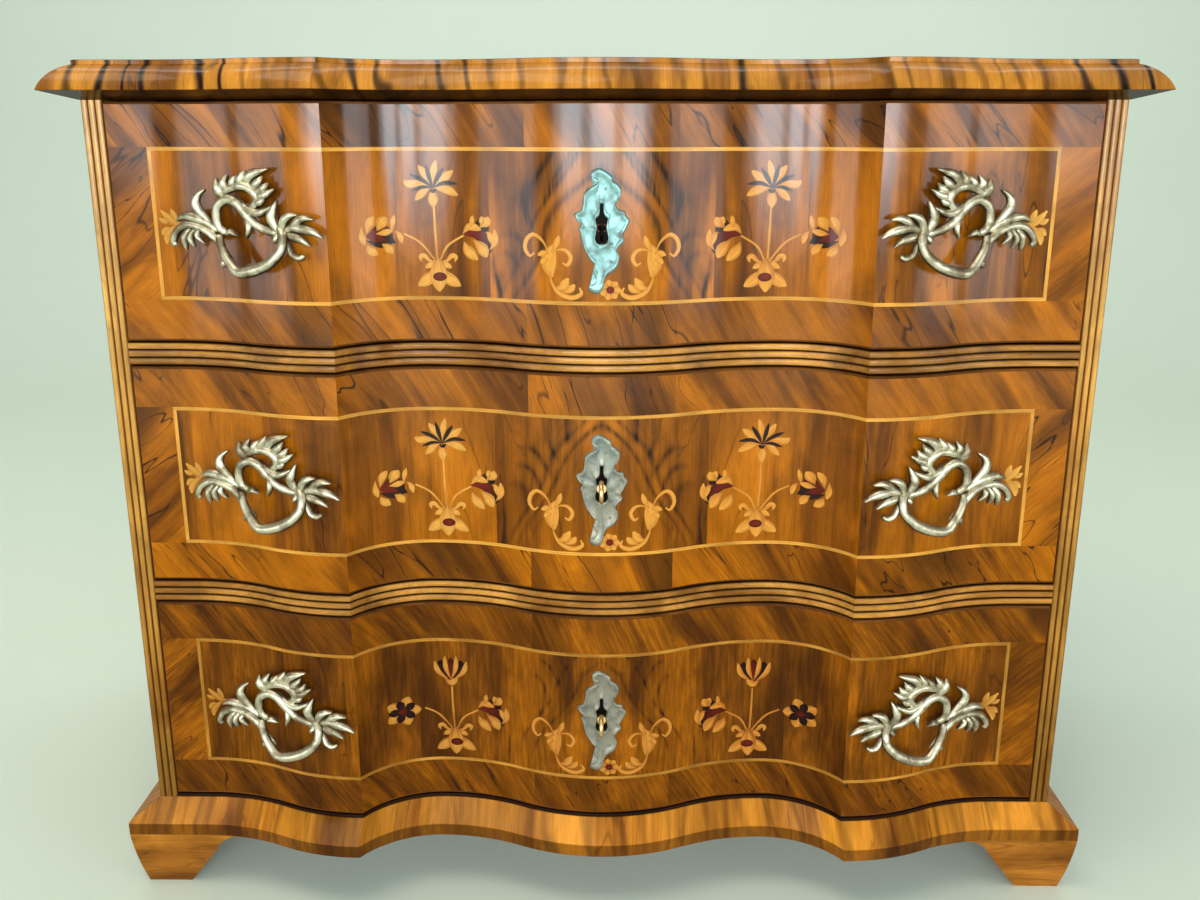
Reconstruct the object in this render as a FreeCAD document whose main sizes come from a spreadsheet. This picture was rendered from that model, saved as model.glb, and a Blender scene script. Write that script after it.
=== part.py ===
"""Chest of three drawers with a serpentine front.

The carcass is a box of plain boards.  Everything at the front follows one line in plan: flat by the
corner posts, swelling forward to a sharp upright edge, hollow beside it and round in the middle.  The
top, the rails, the drawer fronts and the plinth are all drawn along that line.

Millimetres, +X to the right, +Y to the back, +Z up.  The origin lies on the floor under the middle of
the top.
"""

import FreeCAD, Part
import math
import os

import Sketcher
from FreeCAD import Placement, Rotation, Vector

DIMENSIONS = [
    # carcass
    ("body_width", 1020, "over the two corner posts"),
    ("body_depth", 545, "front of the corner posts to the back"),
    ("side_thickness", 20, "side panels"),
    ("back_thickness", 12, "back boards"),
    ("bottom_thickness", 18, "bottom board"),
    ("post_width", 21, "corner post, seen from the front"),
    ("post_depth", 40, "corner post, front to back"),
    ("rail_height", 24, "moulded rail between two drawers"),
    ("rail_depth", 62, "rail, from the posts' front face to its back edge"),
    ("reed_rise", 2.5, "how far each reed of a rail or post stands out"),
    ("runner_width", 30, "strip that carries a drawer side"),
    ("stop_length", 33, "room behind a drawer, which the stop blocks fill"),
    ("stop_height", 14, "block behind a drawer"),
    # line of the front in plan
    ("flat_width", 64, "flat by the post, from the body's side to the start of the flank"),
    ("flank_width", 180, "flank, from the flat to the sharp upright edge"),
    ("arris_depth", 41, "sharp edge in front of the posts"),
    ("hollow_width", 86, "from the sharp edge to the bottom of the hollow"),
    ("recess_depth", 4, "hollow behind the posts"),
    ("centre_depth", 36, "round middle in front of the posts"),
    # top
    ("top_overhang", 29, "nose of the top beyond the body, front and sides"),
    ("top_bevel", 8.5, "height of the bevel under the nose"),
    ("top_round_rise", 24.5, "height of the ovolo"),
    ("top_round_run", 26, "how far the ovolo draws in"),
    ("top_round_bulge", 4.5, "how far the ovolo swells beyond its chord"),
    ("top_fillet", 4, "flat edge above the ovolo"),
    # plinth and feet
    ("foot_height", 68, "floor to the underside of the plinth"),
    ("foot_setback", 12, "how far a foot draws in at the floor"),
    ("foot_bulge", 1.5, "how far a foot swells beyond the chord of its outer face"),
    ("foot_thickness", 20, "board of a foot, behind the body's outer face"),
    ("foot_toe", 34, "body side to the inner corner of a foot on the floor"),
    ("foot_knee", 71, "body side to where the straight inner edge of a foot ends"),
    ("foot_knee_height", 49, "floor to where the straight inner edge of a foot ends"),
    ("foot_wing", 100, "body side to the end of a foot under the plinth"),
    ("foot_block_side", 30, "corner block glued behind a foot"),
    ("foot_block_raise", 25, "floor to the underside of a corner block"),
    ("plinth_lip", 14, "upright edge of the plinth"),
    ("plinth_slope", 18, "height of the sloping face of the plinth"),
    ("plinth_overhang", 27, "lip of the plinth beyond the body"),
    ("bead_height", 4, "dark bead under the lowest drawer"),
    # drawers
    ("drawer_height", 236, "drawer front"),
    ("drawer_gap", 1.5, "above and below a drawer front"),
    ("drawer_side_gap", 1.5, "between a drawer front and a post"),
    ("front_thickness", 22, "posts' front face to the inside of a drawer front"),
    ("front_edge_round", 2, "rounding of a drawer front's long edges"),
    ("drawer_board", 12, "drawer sides and back"),
    ("drawer_side_drop", 16, "how much lower than the drawer front the sides are"),
    ("drawer_base", 8, "drawer bottom"),
    ("drawer_base_raise", 8, "drawer bottom above the lower edge of the sides"),
    ("groove_depth", 5, "how far the drawer bottom enters the sides and the front"),
    ("running_clearance", 0.3, "between moving and fixed pieces that bear on each other"),
    ("tail_length", 14, "dovetails in a drawer front"),
    ("tail_root", 26, "narrow end of a dovetail"),
    ("tail_flare", 4, "how much wider a dovetail is at its end, each side"),
    # locks and keys
    ("lock_width", 80, "lock case"),
    ("lock_drop", 34, "lock case below the key"),
    ("lock_rise", 60, "lock case above the key"),
    ("lock_depth", 18, "lock case, front to back"),
    ("lock_wall", 1.5, "plate of the lock case"),
    ("bolt_width", 24, "shank of the lock bolt"),
    ("bolt_plate_width", 44, "lower part of the lock bolt"),
    ("bolt_thickness", 6, "lock bolt"),
    ("bolt_throw", 10, "travel of the lock bolt"),
    ("keeper_height", 12, "staple that guides the bolt under the edge of the drawer"),
    ("mortise_depth", 12, "hole for the bolt above the drawer"),
    ("key_radius", 3.5, "stem of a key"),
    ("key_bit_reach", 13, "bit of a key, from the axis of the stem"),
    ("key_bit_thickness", 3, "bit of a key"),
    ("key_bit_length", 8, "bit of a key, along the stem"),
    ("key_bow_radius", 10, "ring of the bow, to the middle of its wire"),
    ("key_bow_wire", 2.2, "radius of the bow's wire"),
    ("key_stand", 16, "escutcheon to the middle of the bow"),
    # brass mounts
    ("plate_thickness", 2, "escutcheon"),
    ("plate_width", 54, "escutcheon"),
    ("plate_height", 120, "escutcheon"),
    ("plate_drop", 3.5, "middle of the escutcheon below the key"),
    ("aperture_width", 12, "wide lower part of the keyhole in the escutcheon"),
    ("aperture_drop", 15, "wide part of that keyhole, below the key"),
    ("aperture_neck", 4, "narrow upper part of that keyhole"),
    ("aperture_rise", 22, "narrow part of that keyhole, above the key"),
    ("aperture_shoulder", 4, "middle of the rounding between the two parts, above the key"),
    ("handle_width", 166, "pull, tip to tip"),
    ("handle_height", 104, "pull"),
    ("handle_turn", 14, "degrees that a pull is turned to follow the flank"),
    ("handle_stroke", 8, "width of the openwork's stems"),
    ("handle_thickness", 5, "openwork of the pull"),
    ("handle_lift", 7, "back of the openwork from the chord of the flank"),
    ("handle_inset", 99, "start of the flank to the middle of a pull"),
    ("handle_rise", 6, "middle of a pull above the middle of the drawer front"),
    ("grip_radius", 4, "grip of the pull"),
    ("grip_stand", 25, "grip from the chord of the flank"),
    ("stud_radius", 2.5, "screw that holds a pull"),
    ("stud_spacing", 68, "between the two screws of a pull"),
    ("boss_radius", 5, "foot of a pull round its screw"),
    ("nut_side", 12, "square nut inside the drawer"),
    ("nut_height", 5, "square nut inside the drawer"),
]

LEVELS = ("lower", "middle", "upper")
LEVELS_WITH_KEY = ("lower", "middle")
SIDES = (("left", -1), ("right", 1))
REEDS = 3
TAILS = 3
BACK_BOARDS = 3
MITRE_ANGLE = 45
PULL_FEET = 0.145

document = FreeCAD.newDocument("chest")
sheet = document.addObject("Spreadsheet::Sheet", "dimensions")
for row, (alias, number, note) in enumerate(DIMENSIONS, start=1):
    sheet.set(f"A{row}", alias)
    sheet.set(f"B{row}", str(number))
    sheet.set(f"C{row}", note)
    sheet.setAlias(f"B{row}", alias)
document.recompute()


class Size:
    """A length that carries its number and the spreadsheet formula that gives it."""

    def __init__(self, value, formula):
        self.value = value
        self.formula = formula

    @staticmethod
    def of(other):
        if isinstance(other, Size):
            return other
        return Size(float(other), f"({float(other)})")

    def __add__(self, other):
        other = Size.of(other)
        return Size(self.value + other.value, f"({self.formula} + {other.formula})")

    def __radd__(self, other):
        return Size.of(other) + self

    def __sub__(self, other):
        other = Size.of(other)
        return Size(self.value - other.value, f"({self.formula} - {other.formula})")

    def __rsub__(self, other):
        return Size.of(other) - self

    def __mul__(self, other):
        other = Size.of(other)
        return Size(self.value * other.value, f"({self.formula} * {other.formula})")

    __rmul__ = __mul__

    def __truediv__(self, other):
        other = Size.of(other)
        return Size(self.value / other.value, f"({self.formula} / {other.formula})")

    def __neg__(self):
        return Size(-self.value, f"(0 - {self.formula})")


class Sizes:
    """The driving dimensions by name, each as a Size."""

    def __init__(self):
        for alias, _, _ in DIMENSIONS:
            setattr(self, alias, Size(float(sheet.get(alias)), f"dimensions.{alias}"))


s = Sizes()

# Levels and planes that many pieces share.
HALF_BODY = s.body_width / 2
FLANK_START = HALF_BODY - s.flat_width
ARRIS_X = FLANK_START - s.flank_width
RECESS_X = ARRIS_X - s.hollow_width
PULL_X = FLANK_START - s.handle_inset
FRONT = (s.arris_depth + s.top_overhang - s.body_depth) / 2
BACK = FRONT + s.body_depth
INNER = FRONT + s.front_thickness
HALF_INSIDE = HALF_BODY - s.side_thickness
HALF_OPENING = HALF_BODY - s.post_width
HALF_DRAWER = HALF_OPENING - s.drawer_side_gap
LIP_TOP = s.foot_height + s.plinth_lip
PLINTH_TOP = LIP_TOP + s.plinth_slope
LOWEST_FLOOR = PLINTH_TOP + s.bead_height
OPENING_HEIGHT = s.drawer_height + 2 * s.drawer_gap
BODY_TOP = LOWEST_FLOOR + 3 * OPENING_HEIGHT + 2 * s.rail_height
DRAWER_BACK = BACK - s.back_thickness - s.stop_length
SIDE_HEIGHT = s.drawer_height - s.drawer_side_drop
FARTHEST = s.top_overhang + s.plinth_overhang + s.arris_depth


def opening_floor(level):
    """Height of the surface that a drawer runs on."""
    return LOWEST_FLOOR + LEVELS.index(level) * (OPENING_HEIGHT + s.rail_height)


def front_bottom(level):
    """Lower edge of a drawer front."""
    return opening_floor(level) + s.drawer_gap


def key_height(level):
    """Height of a keyhole, half way up its drawer front."""
    return front_bottom(level) + s.drawer_height / 2


def bind(item, name, size):
    """Ties a property to the spreadsheet."""
    item.setExpression(name, Size.of(size).formula)


def place(item, corner):
    """Ties the position of an object to the spreadsheet."""
    for axis, size in zip("xyz", corner):
        bind(item, f"Placement.Base.{axis}", size)


def add(kind, label):
    """A new object of the document under its own label."""
    item = document.addObject(kind, label)
    item.Label = label
    return item


def board(label, low, high):
    """A rectangular board between two opposite corners."""
    item = add("Part::Box", label)
    for name, start, end in zip(("Length", "Width", "Height"), low, high):
        bind(item, name, Size.of(end) - start)
    place(item, low)
    return item


def rod(label, radius, start, length, direction):
    """A round bar from a point along X, Y or Z."""
    item = add("Part::Cylinder", label)
    bind(item, "Radius", radius)
    bind(item, "Height", length)
    item.Placement = Placement(Vector(), Rotation(Vector(0, 0, 1), direction))
    place(item, start)
    return item


def fused(label, pieces):
    item = add("Part::MultiFuse", label)
    item.Shapes = pieces
    return item


def cut(label, base, tool):
    item = add("Part::Cut", label)
    item.Base = base
    item.Tool = tool
    return item


def common(label, base, tool):
    item = add("Part::Common", label)
    item.Base = base
    item.Tool = tool
    return item


def group(label, pieces):
    """Separate solids that share one node."""
    item = add("Part::Compound", label)
    item.Links = pieces
    return item


def shaped(label, shape):
    """A piece whose form comes from a sweep that no document feature offers."""
    item = add("Part::Feature", label)
    item.Shape = shape
    return item


def span(side, near, far):
    """A stretch of X from near to far on the left (-1) or right (1) of the middle."""
    if side < 0:
        return -far, -near
    return near, far


def part_sides(low, high):
    """The same board on both sides of the chest: pairs of (side name, low corner, high corner)."""
    for name, side in SIDES:
        start, end = span(side, low[0], high[0])
        yield name, (start, low[1], low[2]), (end, high[1], high[2])


# Line of the front in plan

FLANK_RADIUS = (
    (FLANK_START - ARRIS_X) * (FLANK_START - ARRIS_X) + s.arris_depth * s.arris_depth
) / (4 * s.arris_depth)
HOLLOW_RADIUS = (
    (ARRIS_X - RECESS_X) * (ARRIS_X - RECESS_X)
    + (s.arris_depth + s.recess_depth) * (s.arris_depth + s.recess_depth)
) / (2 * (s.arris_depth + s.recess_depth))
MIDDLE_RISE = s.centre_depth + s.recess_depth
MIDDLE_RADIUS = (RECESS_X * RECESS_X + MIDDLE_RISE * MIDDLE_RISE) / (4 * MIDDLE_RISE)
PLAN_REACH = HALF_BODY + FARTHEST


def plan_arc(sketch, centre, radius, start, end):
    """Adds an arc and says which of its ends is which: index, end at start, end at end."""
    angles = [math.atan2(p[1] - centre[1], p[0] - centre[0]) for p in (start, end)]
    circle = Part.Circle(Vector(centre[0], centre[1], 0), Vector(0, 0, 1), radius)
    sweep = (angles[1] - angles[0]) % (2 * math.pi)
    if sweep < math.pi:
        arc = Part.ArcOfCircle(circle, angles[0], angles[0] + sweep)
        return sketch.addGeometry(arc, False), 1, 2
    arc = Part.ArcOfCircle(circle, angles[1], angles[1] + 2 * math.pi - sweep)
    return sketch.addGeometry(arc, False), 2, 1


def plan_line(sketch, start, end):
    line = Part.LineSegment(Vector(start[0], start[1], 0), Vector(end[0], end[1], 0))
    return sketch.addGeometry(line, False), 1, 2


def draw_front_line():
    """The serpentine as one sketch: flat, ogee flank, sharp edge, hollow, round middle, mirrored."""
    sketch = add("Sketcher::SketchObject", "front_line")
    y = FRONT.value
    flank, arris, recess = FLANK_START.value, ARRIS_X.value, RECESS_X.value
    arris_y = y - s.arris_depth.value
    recess_y = y + s.recess_depth.value
    middle_y = y - s.centre_depth.value
    r_flank, r_hollow, r_middle = FLANK_RADIUS.value, HOLLOW_RADIUS.value, MIDDLE_RADIUS.value

    def half(side):
        """Edges of one half from the post to the middle."""
        end = (side * PLAN_REACH.value, y)
        start = (side * flank, y)
        turn = (side * (flank + arris) / 2, (y + arris_y) / 2)
        sharp = (side * arris, arris_y)
        deep = (side * recess, recess_y)
        swing = (side * recess / 2, (recess_y + middle_y) / 2)
        edges = [
            plan_line(sketch, end, start),
            plan_arc(sketch, (side * flank, y - r_flank), r_flank, start, turn),
            plan_arc(sketch, (side * arris, arris_y + r_flank), r_flank, turn, sharp),
            plan_arc(sketch, (side * recess, recess_y - r_hollow), r_hollow, sharp, deep),
            plan_arc(sketch, (side * recess, recess_y - r_middle), r_middle, deep, swing),
        ]
        return edges, swing

    left, left_swing = half(-1)
    right, right_swing = half(1)
    middle = plan_arc(sketch, (0, middle_y + r_middle), r_middle, left_swing, right_swing)

    def rule(*arguments):
        return sketch.addConstraint(Sketcher.Constraint(*arguments))

    def fix(kind, geometry, point, size):
        """A distance from the origin that the spreadsheet sets."""
        index = rule(kind, -1, 1, geometry, point, size.value)
        sketch.setExpression(f"Constraints[{index}]", size.formula)

    for edges, side, joint in ((left, -1, middle[1]), (right, 1, middle[2])):
        flat, ogee, swell, hollow, bend = edges
        rule("Horizontal", flat[0])
        rule("Tangent", flat[0], flat[2], ogee[0], ogee[1])
        rule("Tangent", ogee[0], ogee[2], swell[0], swell[1])
        rule("Coincident", swell[0], swell[2], hollow[0], hollow[1])
        rule("Tangent", hollow[0], hollow[2], bend[0], bend[1])
        rule("Tangent", bend[0], bend[2], middle[0], joint)
        rule("Equal", ogee[0], swell[0])
        rule("Vertical", swell[0], 3, swell[0], swell[2])
        rule("Vertical", hollow[0], 3, hollow[0], hollow[2])
        fix("DistanceX", flat[0], flat[1], side * PLAN_REACH)
        fix("DistanceY", flat[0], flat[1], FRONT)
        fix("DistanceX", flat[0], flat[2], side * FLANK_START)
        fix("DistanceX", swell[0], swell[2], side * ARRIS_X)
        fix("DistanceY", swell[0], swell[2], FRONT - s.arris_depth)
        fix("DistanceX", hollow[0], hollow[2], side * RECESS_X)
        fix("DistanceY", hollow[0], hollow[2], FRONT + s.recess_depth)
    rule("PointOnObject", middle[0], 3, -2)
    radius = rule("Radius", middle[0], MIDDLE_RADIUS.value)
    sketch.setExpression(f"Constraints[{radius}]", MIDDLE_RADIUS.formula)
    rule("Equal", middle[0], left[4][0])
    return sketch


def plan_depth(x):
    """How far the front stands before the posts at a distance x from the middle."""
    x = abs(x)
    if x >= FLANK_START.value:
        return 0.0

    def drop(radius, run):
        return radius - math.sqrt(radius * radius - run * run)

    if x >= (FLANK_START.value + ARRIS_X.value) / 2:
        return drop(FLANK_RADIUS.value, FLANK_START.value - x)
    if x >= ARRIS_X.value:
        return s.arris_depth.value - drop(FLANK_RADIUS.value, x - ARRIS_X.value)
    if x >= RECESS_X.value:
        return drop(HOLLOW_RADIUS.value, x - RECESS_X.value) - s.recess_depth.value
    if x >= RECESS_X.value / 2:
        return drop(MIDDLE_RADIUS.value, RECESS_X.value - x) - s.recess_depth.value
    return s.centre_depth.value - drop(MIDDLE_RADIUS.value, x)


def numbers(points):
    """Plain numbers from a list of points given as sizes."""
    return [tuple(Size.of(c).value for c in point) for point in points]


def closed_wire(corners, to_space):
    """A closed outline of straight edges, or arcs where a corner is marked ("via", a, b)."""
    edges = []
    count = len(corners)
    for i, corner in enumerate(corners):
        if corner[0] == "via":
            continue
        following = corners[(i + 1) % count]
        if following[0] == "via":
            end = corners[(i + 2) % count]
            edges.append(Part.Arc(to_space(*corner), to_space(*following[1:]), to_space(*end)).toShape())
        else:
            edges.append(Part.LineSegment(to_space(*corner), to_space(*following)).toShape())
    return Part.Wire(edges)


def via(*coordinates):
    """A point that an arc passes through."""
    return ("via", *coordinates)


def along_front(section):
    """Carries an outline (forward is negative, height) along the front line without turning it."""
    path_edges = Part.sortEdges(front_line.Shape.Edges)[0]
    if path_edges[0].Vertexes[0].X > path_edges[-1].Vertexes[0].X:
        path_edges = path_edges[::-1]
    arris = ARRIS_X.value
    stretches = [[], [], []]
    for edge in path_edges:
        middle = edge.CenterOfMass.x
        stretches[0 if middle < -arris else 2 if middle > arris else 1].append(edge)
    solids = []
    for edges in stretches:
        path = Part.Wire(edges)
        start = path.OrderedVertexes[0].Point
        wire = closed_wire(section, lambda y, z: Vector(start.x, start.y + y, z))
        sweep = Part.BRepOffsetAPI.MakePipeShell(path)
        sweep.setTrihedronMode(Vector(), Vector(0, 0, 1))
        sweep.add(wire)
        sweep.build()
        sweep.makeSolid()
        solids.append(sweep.shape())
    whole = solids[0].fuse(solids[1:])
    return whole.Solids[0]


# Carcass

def make_side_panels():
    for name, low, high in part_sides(
        (HALF_INSIDE, FRONT + s.post_depth, s.foot_height), (HALF_BODY, BACK, BODY_TOP)
    ):
        nodes.append(board(f"{name}_side_panel", low, high))


def make_back_boards():
    height = (BODY_TOP - s.foot_height) / BACK_BOARDS
    planks = []
    for i in range(BACK_BOARDS):
        low = (-HALF_INSIDE, BACK - s.back_thickness, s.foot_height + i * height)
        high = (HALF_INSIDE, BACK, s.foot_height + (i + 1) * height)
        planks.append(board(f"back_plank_{i + 1}", low, high))
    nodes.append(group("back_boards", planks))


def make_bottom_board():
    low = (-HALF_INSIDE, FRONT + s.post_depth, LOWEST_FLOOR - s.bottom_thickness)
    high = (HALF_INSIDE, BACK - s.back_thickness, LOWEST_FLOOR)
    nodes.append(board("bottom_board", low, high))


def sketch_outline(sketch, corners):
    """Draws a closed outline; a corner with a third entry starts an arc of that radius to the next."""
    count = len(corners)
    shapes = []
    for i, corner in enumerate(corners):
        start = [Size.of(c).value for c in corner[:2]]
        end = [Size.of(c).value for c in corners[(i + 1) % count][:2]]
        if len(corner) == 2:
            shapes.append(plan_line(sketch, start, end))
            continue
        radius = abs(corner[2].value)
        dx, dy = end[0] - start[0], end[1] - start[1]
        chord = math.hypot(dx, dy)
        offset = math.copysign(math.sqrt(radius * radius - chord * chord / 4), corner[2].value)
        centre = (
            (start[0] + end[0]) / 2 - dy / chord * offset,
            (start[1] + end[1]) / 2 + dx / chord * offset,
        )
        shapes.append(plan_arc(sketch, centre, radius, start, end))
    for i, corner in enumerate(corners):
        here, following = shapes[i], shapes[(i + 1) % count]
        sketch.addConstraint(
            Sketcher.Constraint("Coincident", here[0], here[2], following[0], following[1])
        )
        for kind, size in zip(("DistanceX", "DistanceY"), corner[:2]):
            size = Size.of(size)
            index = sketch.addConstraint(
                Sketcher.Constraint(kind, -1, 1, here[0], here[1], size.value)
            )
            sketch.setExpression(f"Constraints[{index}]", size.formula)
        if len(corner) == 3:
            radius = corner[2] if corner[2].value > 0 else -corner[2]
            index = sketch.addConstraint(Sketcher.Constraint("Radius", here[0], radius.value))
            sketch.setExpression(f"Constraints[{index}]", radius.formula)


def padded(label, plane, corners, length, start):
    """A body padded from an outline on one of its own origin planes."""
    body = add("PartDesign::Body", label)
    sketch = body.newObject("Sketcher::SketchObject", f"{label}_outline")
    origin = {item.Role: item for item in body.Origin.OriginFeatures}[plane]
    sketch.AttachmentSupport = [(origin, "")]
    sketch.MapMode = "FlatFace"
    sketch_outline(sketch, corners)
    pad = body.newObject("PartDesign::Pad", f"{label}_pad")
    pad.Profile = sketch
    bind(pad, "Length", length)
    place(body, start)
    return body


def arc_radius(chord, rise):
    """Radius of an arc from its chord and rise."""
    return (chord * chord / 4 + rise * rise) / (2 * rise)


def make_corner_posts():
    """Each post has upright reeds on its front face."""
    pitch = s.post_width / REEDS
    radius = arc_radius(pitch, s.reed_rise)
    for name, side in SIDES:
        left, right = span(side, HALF_OPENING, HALF_BODY)
        y = FRONT + s.reed_rise
        corners = [(left + i * pitch, y, radius) for i in range(REEDS)]
        corners += [(right, y), (right, FRONT + s.post_depth), (left, FRONT + s.post_depth)]
        nodes.append(
            padded(f"{name}_corner_post", "XY_Plane", corners, BODY_TOP - PLINTH_TOP, (0, 0, PLINTH_TOP))
        )


def make_top():
    """Board with a bevelled underside, an ovolo and a flat edge at the front and both sides."""
    out, low = s.top_overhang, BODY_TOP
    chord = math.hypot(s.top_round_run.value, s.top_round_rise.value)
    swell = Size.of(s.top_round_bulge.value / chord)
    nose = (out, low + s.top_bevel)
    crown = (out - s.top_round_run, low + s.top_bevel + s.top_round_rise)
    mid = (
        (nose[0] + crown[0]) / 2 + swell * s.top_round_rise,
        (nose[1] + crown[1]) / 2 + swell * s.top_round_run,
    )
    edge = (crown[0], crown[1] + s.top_fillet)
    base, nose, mid, crown, edge = numbers([(0, low), nose, mid, crown, edge])

    def forward(point):
        return -point[0], point[1]

    deep = 2 * s.body_depth.value
    section = [(deep, base[1]), forward(base), forward(nose), via(*forward(mid)), forward(crown)]
    section += [forward(edge), (deep, edge[1])]
    front_moulding = shaped("top_front_form", along_front(section))

    half = HALF_BODY.value

    def beside(point, side):
        return side * (half + point[0]), point[1]

    outline = [beside(base, -1), beside(base, 1), beside(nose, 1), via(*beside(mid, 1))]
    outline += [beside(crown, 1), beside(edge, 1), beside(edge, -1), beside(crown, -1)]
    outline += [via(*beside(mid, -1)), beside(nose, -1)]
    start = (FRONT - s.arris_depth - 2 * out).value
    face = Part.Face(closed_wire(outline, lambda x, z: Vector(x, start, z)))
    side_form = face.extrude(Vector(0, BACK.value - start, 0))
    whole = common("top_form", front_moulding, shaped("top_side_form", side_form))
    nodes.append(cut("top", whole, bolt_mortise("upper", BODY_TOP)))


def bolt_mortise(level, bottom):
    """Hole that a lock bolt shoots up into."""
    half = s.bolt_width / 2 + 2
    depth = s.bolt_thickness / 2 + 2
    middle = INNER + s.lock_depth / 2
    low = (-half, middle - depth, bottom)
    high = (half, middle + depth, bottom + s.mortise_depth)
    return board(f"{level}_mortise", low, high)


def make_rails():
    """Reeded rails between the drawers, each with a hole for the bolt of the drawer below it."""
    for level in ("lower", "middle"):
        bottom = opening_floor(level) + OPENING_HEIGHT
        rise = s.reed_rise.value
        pitch = s.rail_height.value / REEDS
        z = bottom.value
        section = []
        for i in range(REEDS):
            section.append((rise, z + i * pitch))
            section.append(via(0, z + (i + 0.5) * pitch))
        deep = 2 * s.body_depth.value
        section += [(rise, z + REEDS * pitch), (deep, z + REEDS * pitch), (deep, z)]
        form = shaped(f"{level}_rail_form", along_front(section))
        room = board(
            f"{level}_rail_room",
            (-HALF_OPENING, FRONT - FARTHEST, bottom - 1),
            (HALF_OPENING, FRONT + s.rail_depth, bottom + s.rail_height + 1),
        )
        blank = common(f"{level}_rail_blank", form, room)
        name = {"lower": "lower_rail", "middle": "upper_rail"}[level]
        nodes.append(cut(name, blank, bolt_mortise(level, bottom)))


def make_base_bead():
    """Rounded strip between the plinth and the lowest drawer."""
    z, height = PLINTH_TOP.value, s.bead_height.value
    nose = height / 2
    deep = 2 * s.body_depth.value
    section = [(nose, z), via(0, z + nose), (nose, z + height), (deep, z + height), (deep, z)]
    form = shaped("bead_form", along_front(section))
    room = board(
        "bead_room",
        (-HALF_OPENING, FRONT - FARTHEST, PLINTH_TOP - 1),
        (HALF_OPENING, FRONT + s.post_depth, LOWEST_FLOOR + 1),
    )
    nodes.append(common("base_bead", form, room))


def make_runners():
    """Strips that carry the drawer sides, level with the rails, and two that keep the top drawer down."""
    back = BACK - s.back_thickness
    for level, label in (("middle", "lower"), ("upper", "upper")):
        floor = opening_floor(level)
        low = (HALF_INSIDE - s.runner_width, FRONT + s.rail_depth, floor - s.rail_height)
        for name, start, end in part_sides(low, (HALF_INSIDE, back, floor)):
            nodes.append(board(f"{name}_{label}_runner", start, end))
    low = (
        HALF_INSIDE - s.runner_width,
        FRONT + s.rail_depth,
        drawer_side_bottom("upper") + SIDE_HEIGHT + 2 * s.running_clearance,
    )
    for name, start, end in part_sides(low, (HALF_INSIDE, back, BODY_TOP)):
        nodes.append(board(f"{name}_kicker", start, end))


def drawer_side_bottom(level):
    return opening_floor(level) + s.running_clearance


def make_drawer_stops():
    """Blocks behind the drawers, a pair at each level."""
    blocks = []
    for level in LEVELS:
        floor = opening_floor(level)
        back = BACK - s.back_thickness
        low = (HALF_INSIDE - s.runner_width, DRAWER_BACK + s.running_clearance, floor)
        high = (HALF_INSIDE, back, floor + s.drawer_base_raise + s.stop_height)
        for name, start, end in part_sides(low, high):
            blocks.append(board(f"{name}_{level}_stop", start, end))
    nodes.append(group("drawer_stops", blocks))


# Plinth and feet

def make_base_form():
    """The whole base as one block: sloping top, upright lip and feet that draw in to the floor."""
    out, toe = s.plinth_overhang, s.plinth_overhang - s.foot_setback
    belly = ((out + toe) / 2 + s.foot_bulge, s.foot_height / 2)
    points = numbers([(0, PLINTH_TOP), (out, LIP_TOP), (out, s.foot_height), belly, (toe, 0)])
    top, lip, shoulder, belly, toe = points

    def forward(point):
        return -point[0], point[1]

    deep = 2 * s.body_depth.value
    section = [(deep, 0), forward(toe), via(*forward(belly)), forward(shoulder), forward(lip)]
    section += [forward(top), (deep, top[1])]
    front_form = shaped("base_front_form", along_front(section))

    half = HALF_BODY.value

    def beside(point, side):
        return side * (half + point[0]), point[1]

    outline = [beside(toe, -1), beside(toe, 1), via(*beside(belly, 1)), beside(shoulder, 1)]
    outline += [beside(lip, 1), beside(top, 1), beside(top, -1), beside(lip, -1)]
    outline += [beside(shoulder, -1), via(*beside(belly, -1))]
    start = (FRONT - FARTHEST).value
    face = Part.Face(closed_wire(outline, lambda x, z: Vector(x, start, z)))
    side_form = face.extrude(Vector(0, BACK.value - start, 0))
    return common("base_form", front_form, shaped("base_side_form", side_form))


def make_plinth(base_form):
    """Front and side mouldings that meet in mitres at the front corners."""
    front = FRONT - FARTHEST
    room = board(
        "plinth_front_room",
        (-HALF_BODY - FARTHEST, front, s.foot_height),
        (HALF_BODY + FARTHEST, FRONT + s.post_depth, PLINTH_TOP + 1),
    )
    side_rooms = []
    reach = 3 * s.plinth_overhang
    for name, side in SIDES:
        wedge = board(
            f"{name}_mitre",
            (side * HALF_BODY, FRONT, s.foot_height - 1),
            (side * HALF_BODY + reach, FRONT + reach, PLINTH_TOP + 1),
        )
        turn = -MITRE_ANGLE if side > 0 else MITRE_ANGLE + 90
        wedge.Placement = Placement(wedge.Placement.Base, Rotation(Vector(0, 0, 1), turn))
        start, end = span(side, HALF_BODY, HALF_BODY + FARTHEST)
        length = board(
            f"{name}_plinth_room", (start, FRONT, s.foot_height - 1), (end, BACK + 1, PLINTH_TOP + 1)
        )
        side_rooms.append(fused(f"{name}_plinth_rooms", [wedge, length]))
    upper = common("plinth_block", base_form, board(
        "plinth_height_room",
        (-HALF_BODY - FARTHEST, front, s.foot_height),
        (HALF_BODY + FARTHEST, BACK + 1, PLINTH_TOP + 1),
    ))
    front_blank = common("plinth_front_blank", upper, room)
    nodes.append(cut("plinth_front", front_blank, fused("plinth_ends", side_rooms)))
    for (name, _), room in zip(SIDES, side_rooms):
        nodes.append(common(f"plinth_{name}", upper, room))


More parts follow.
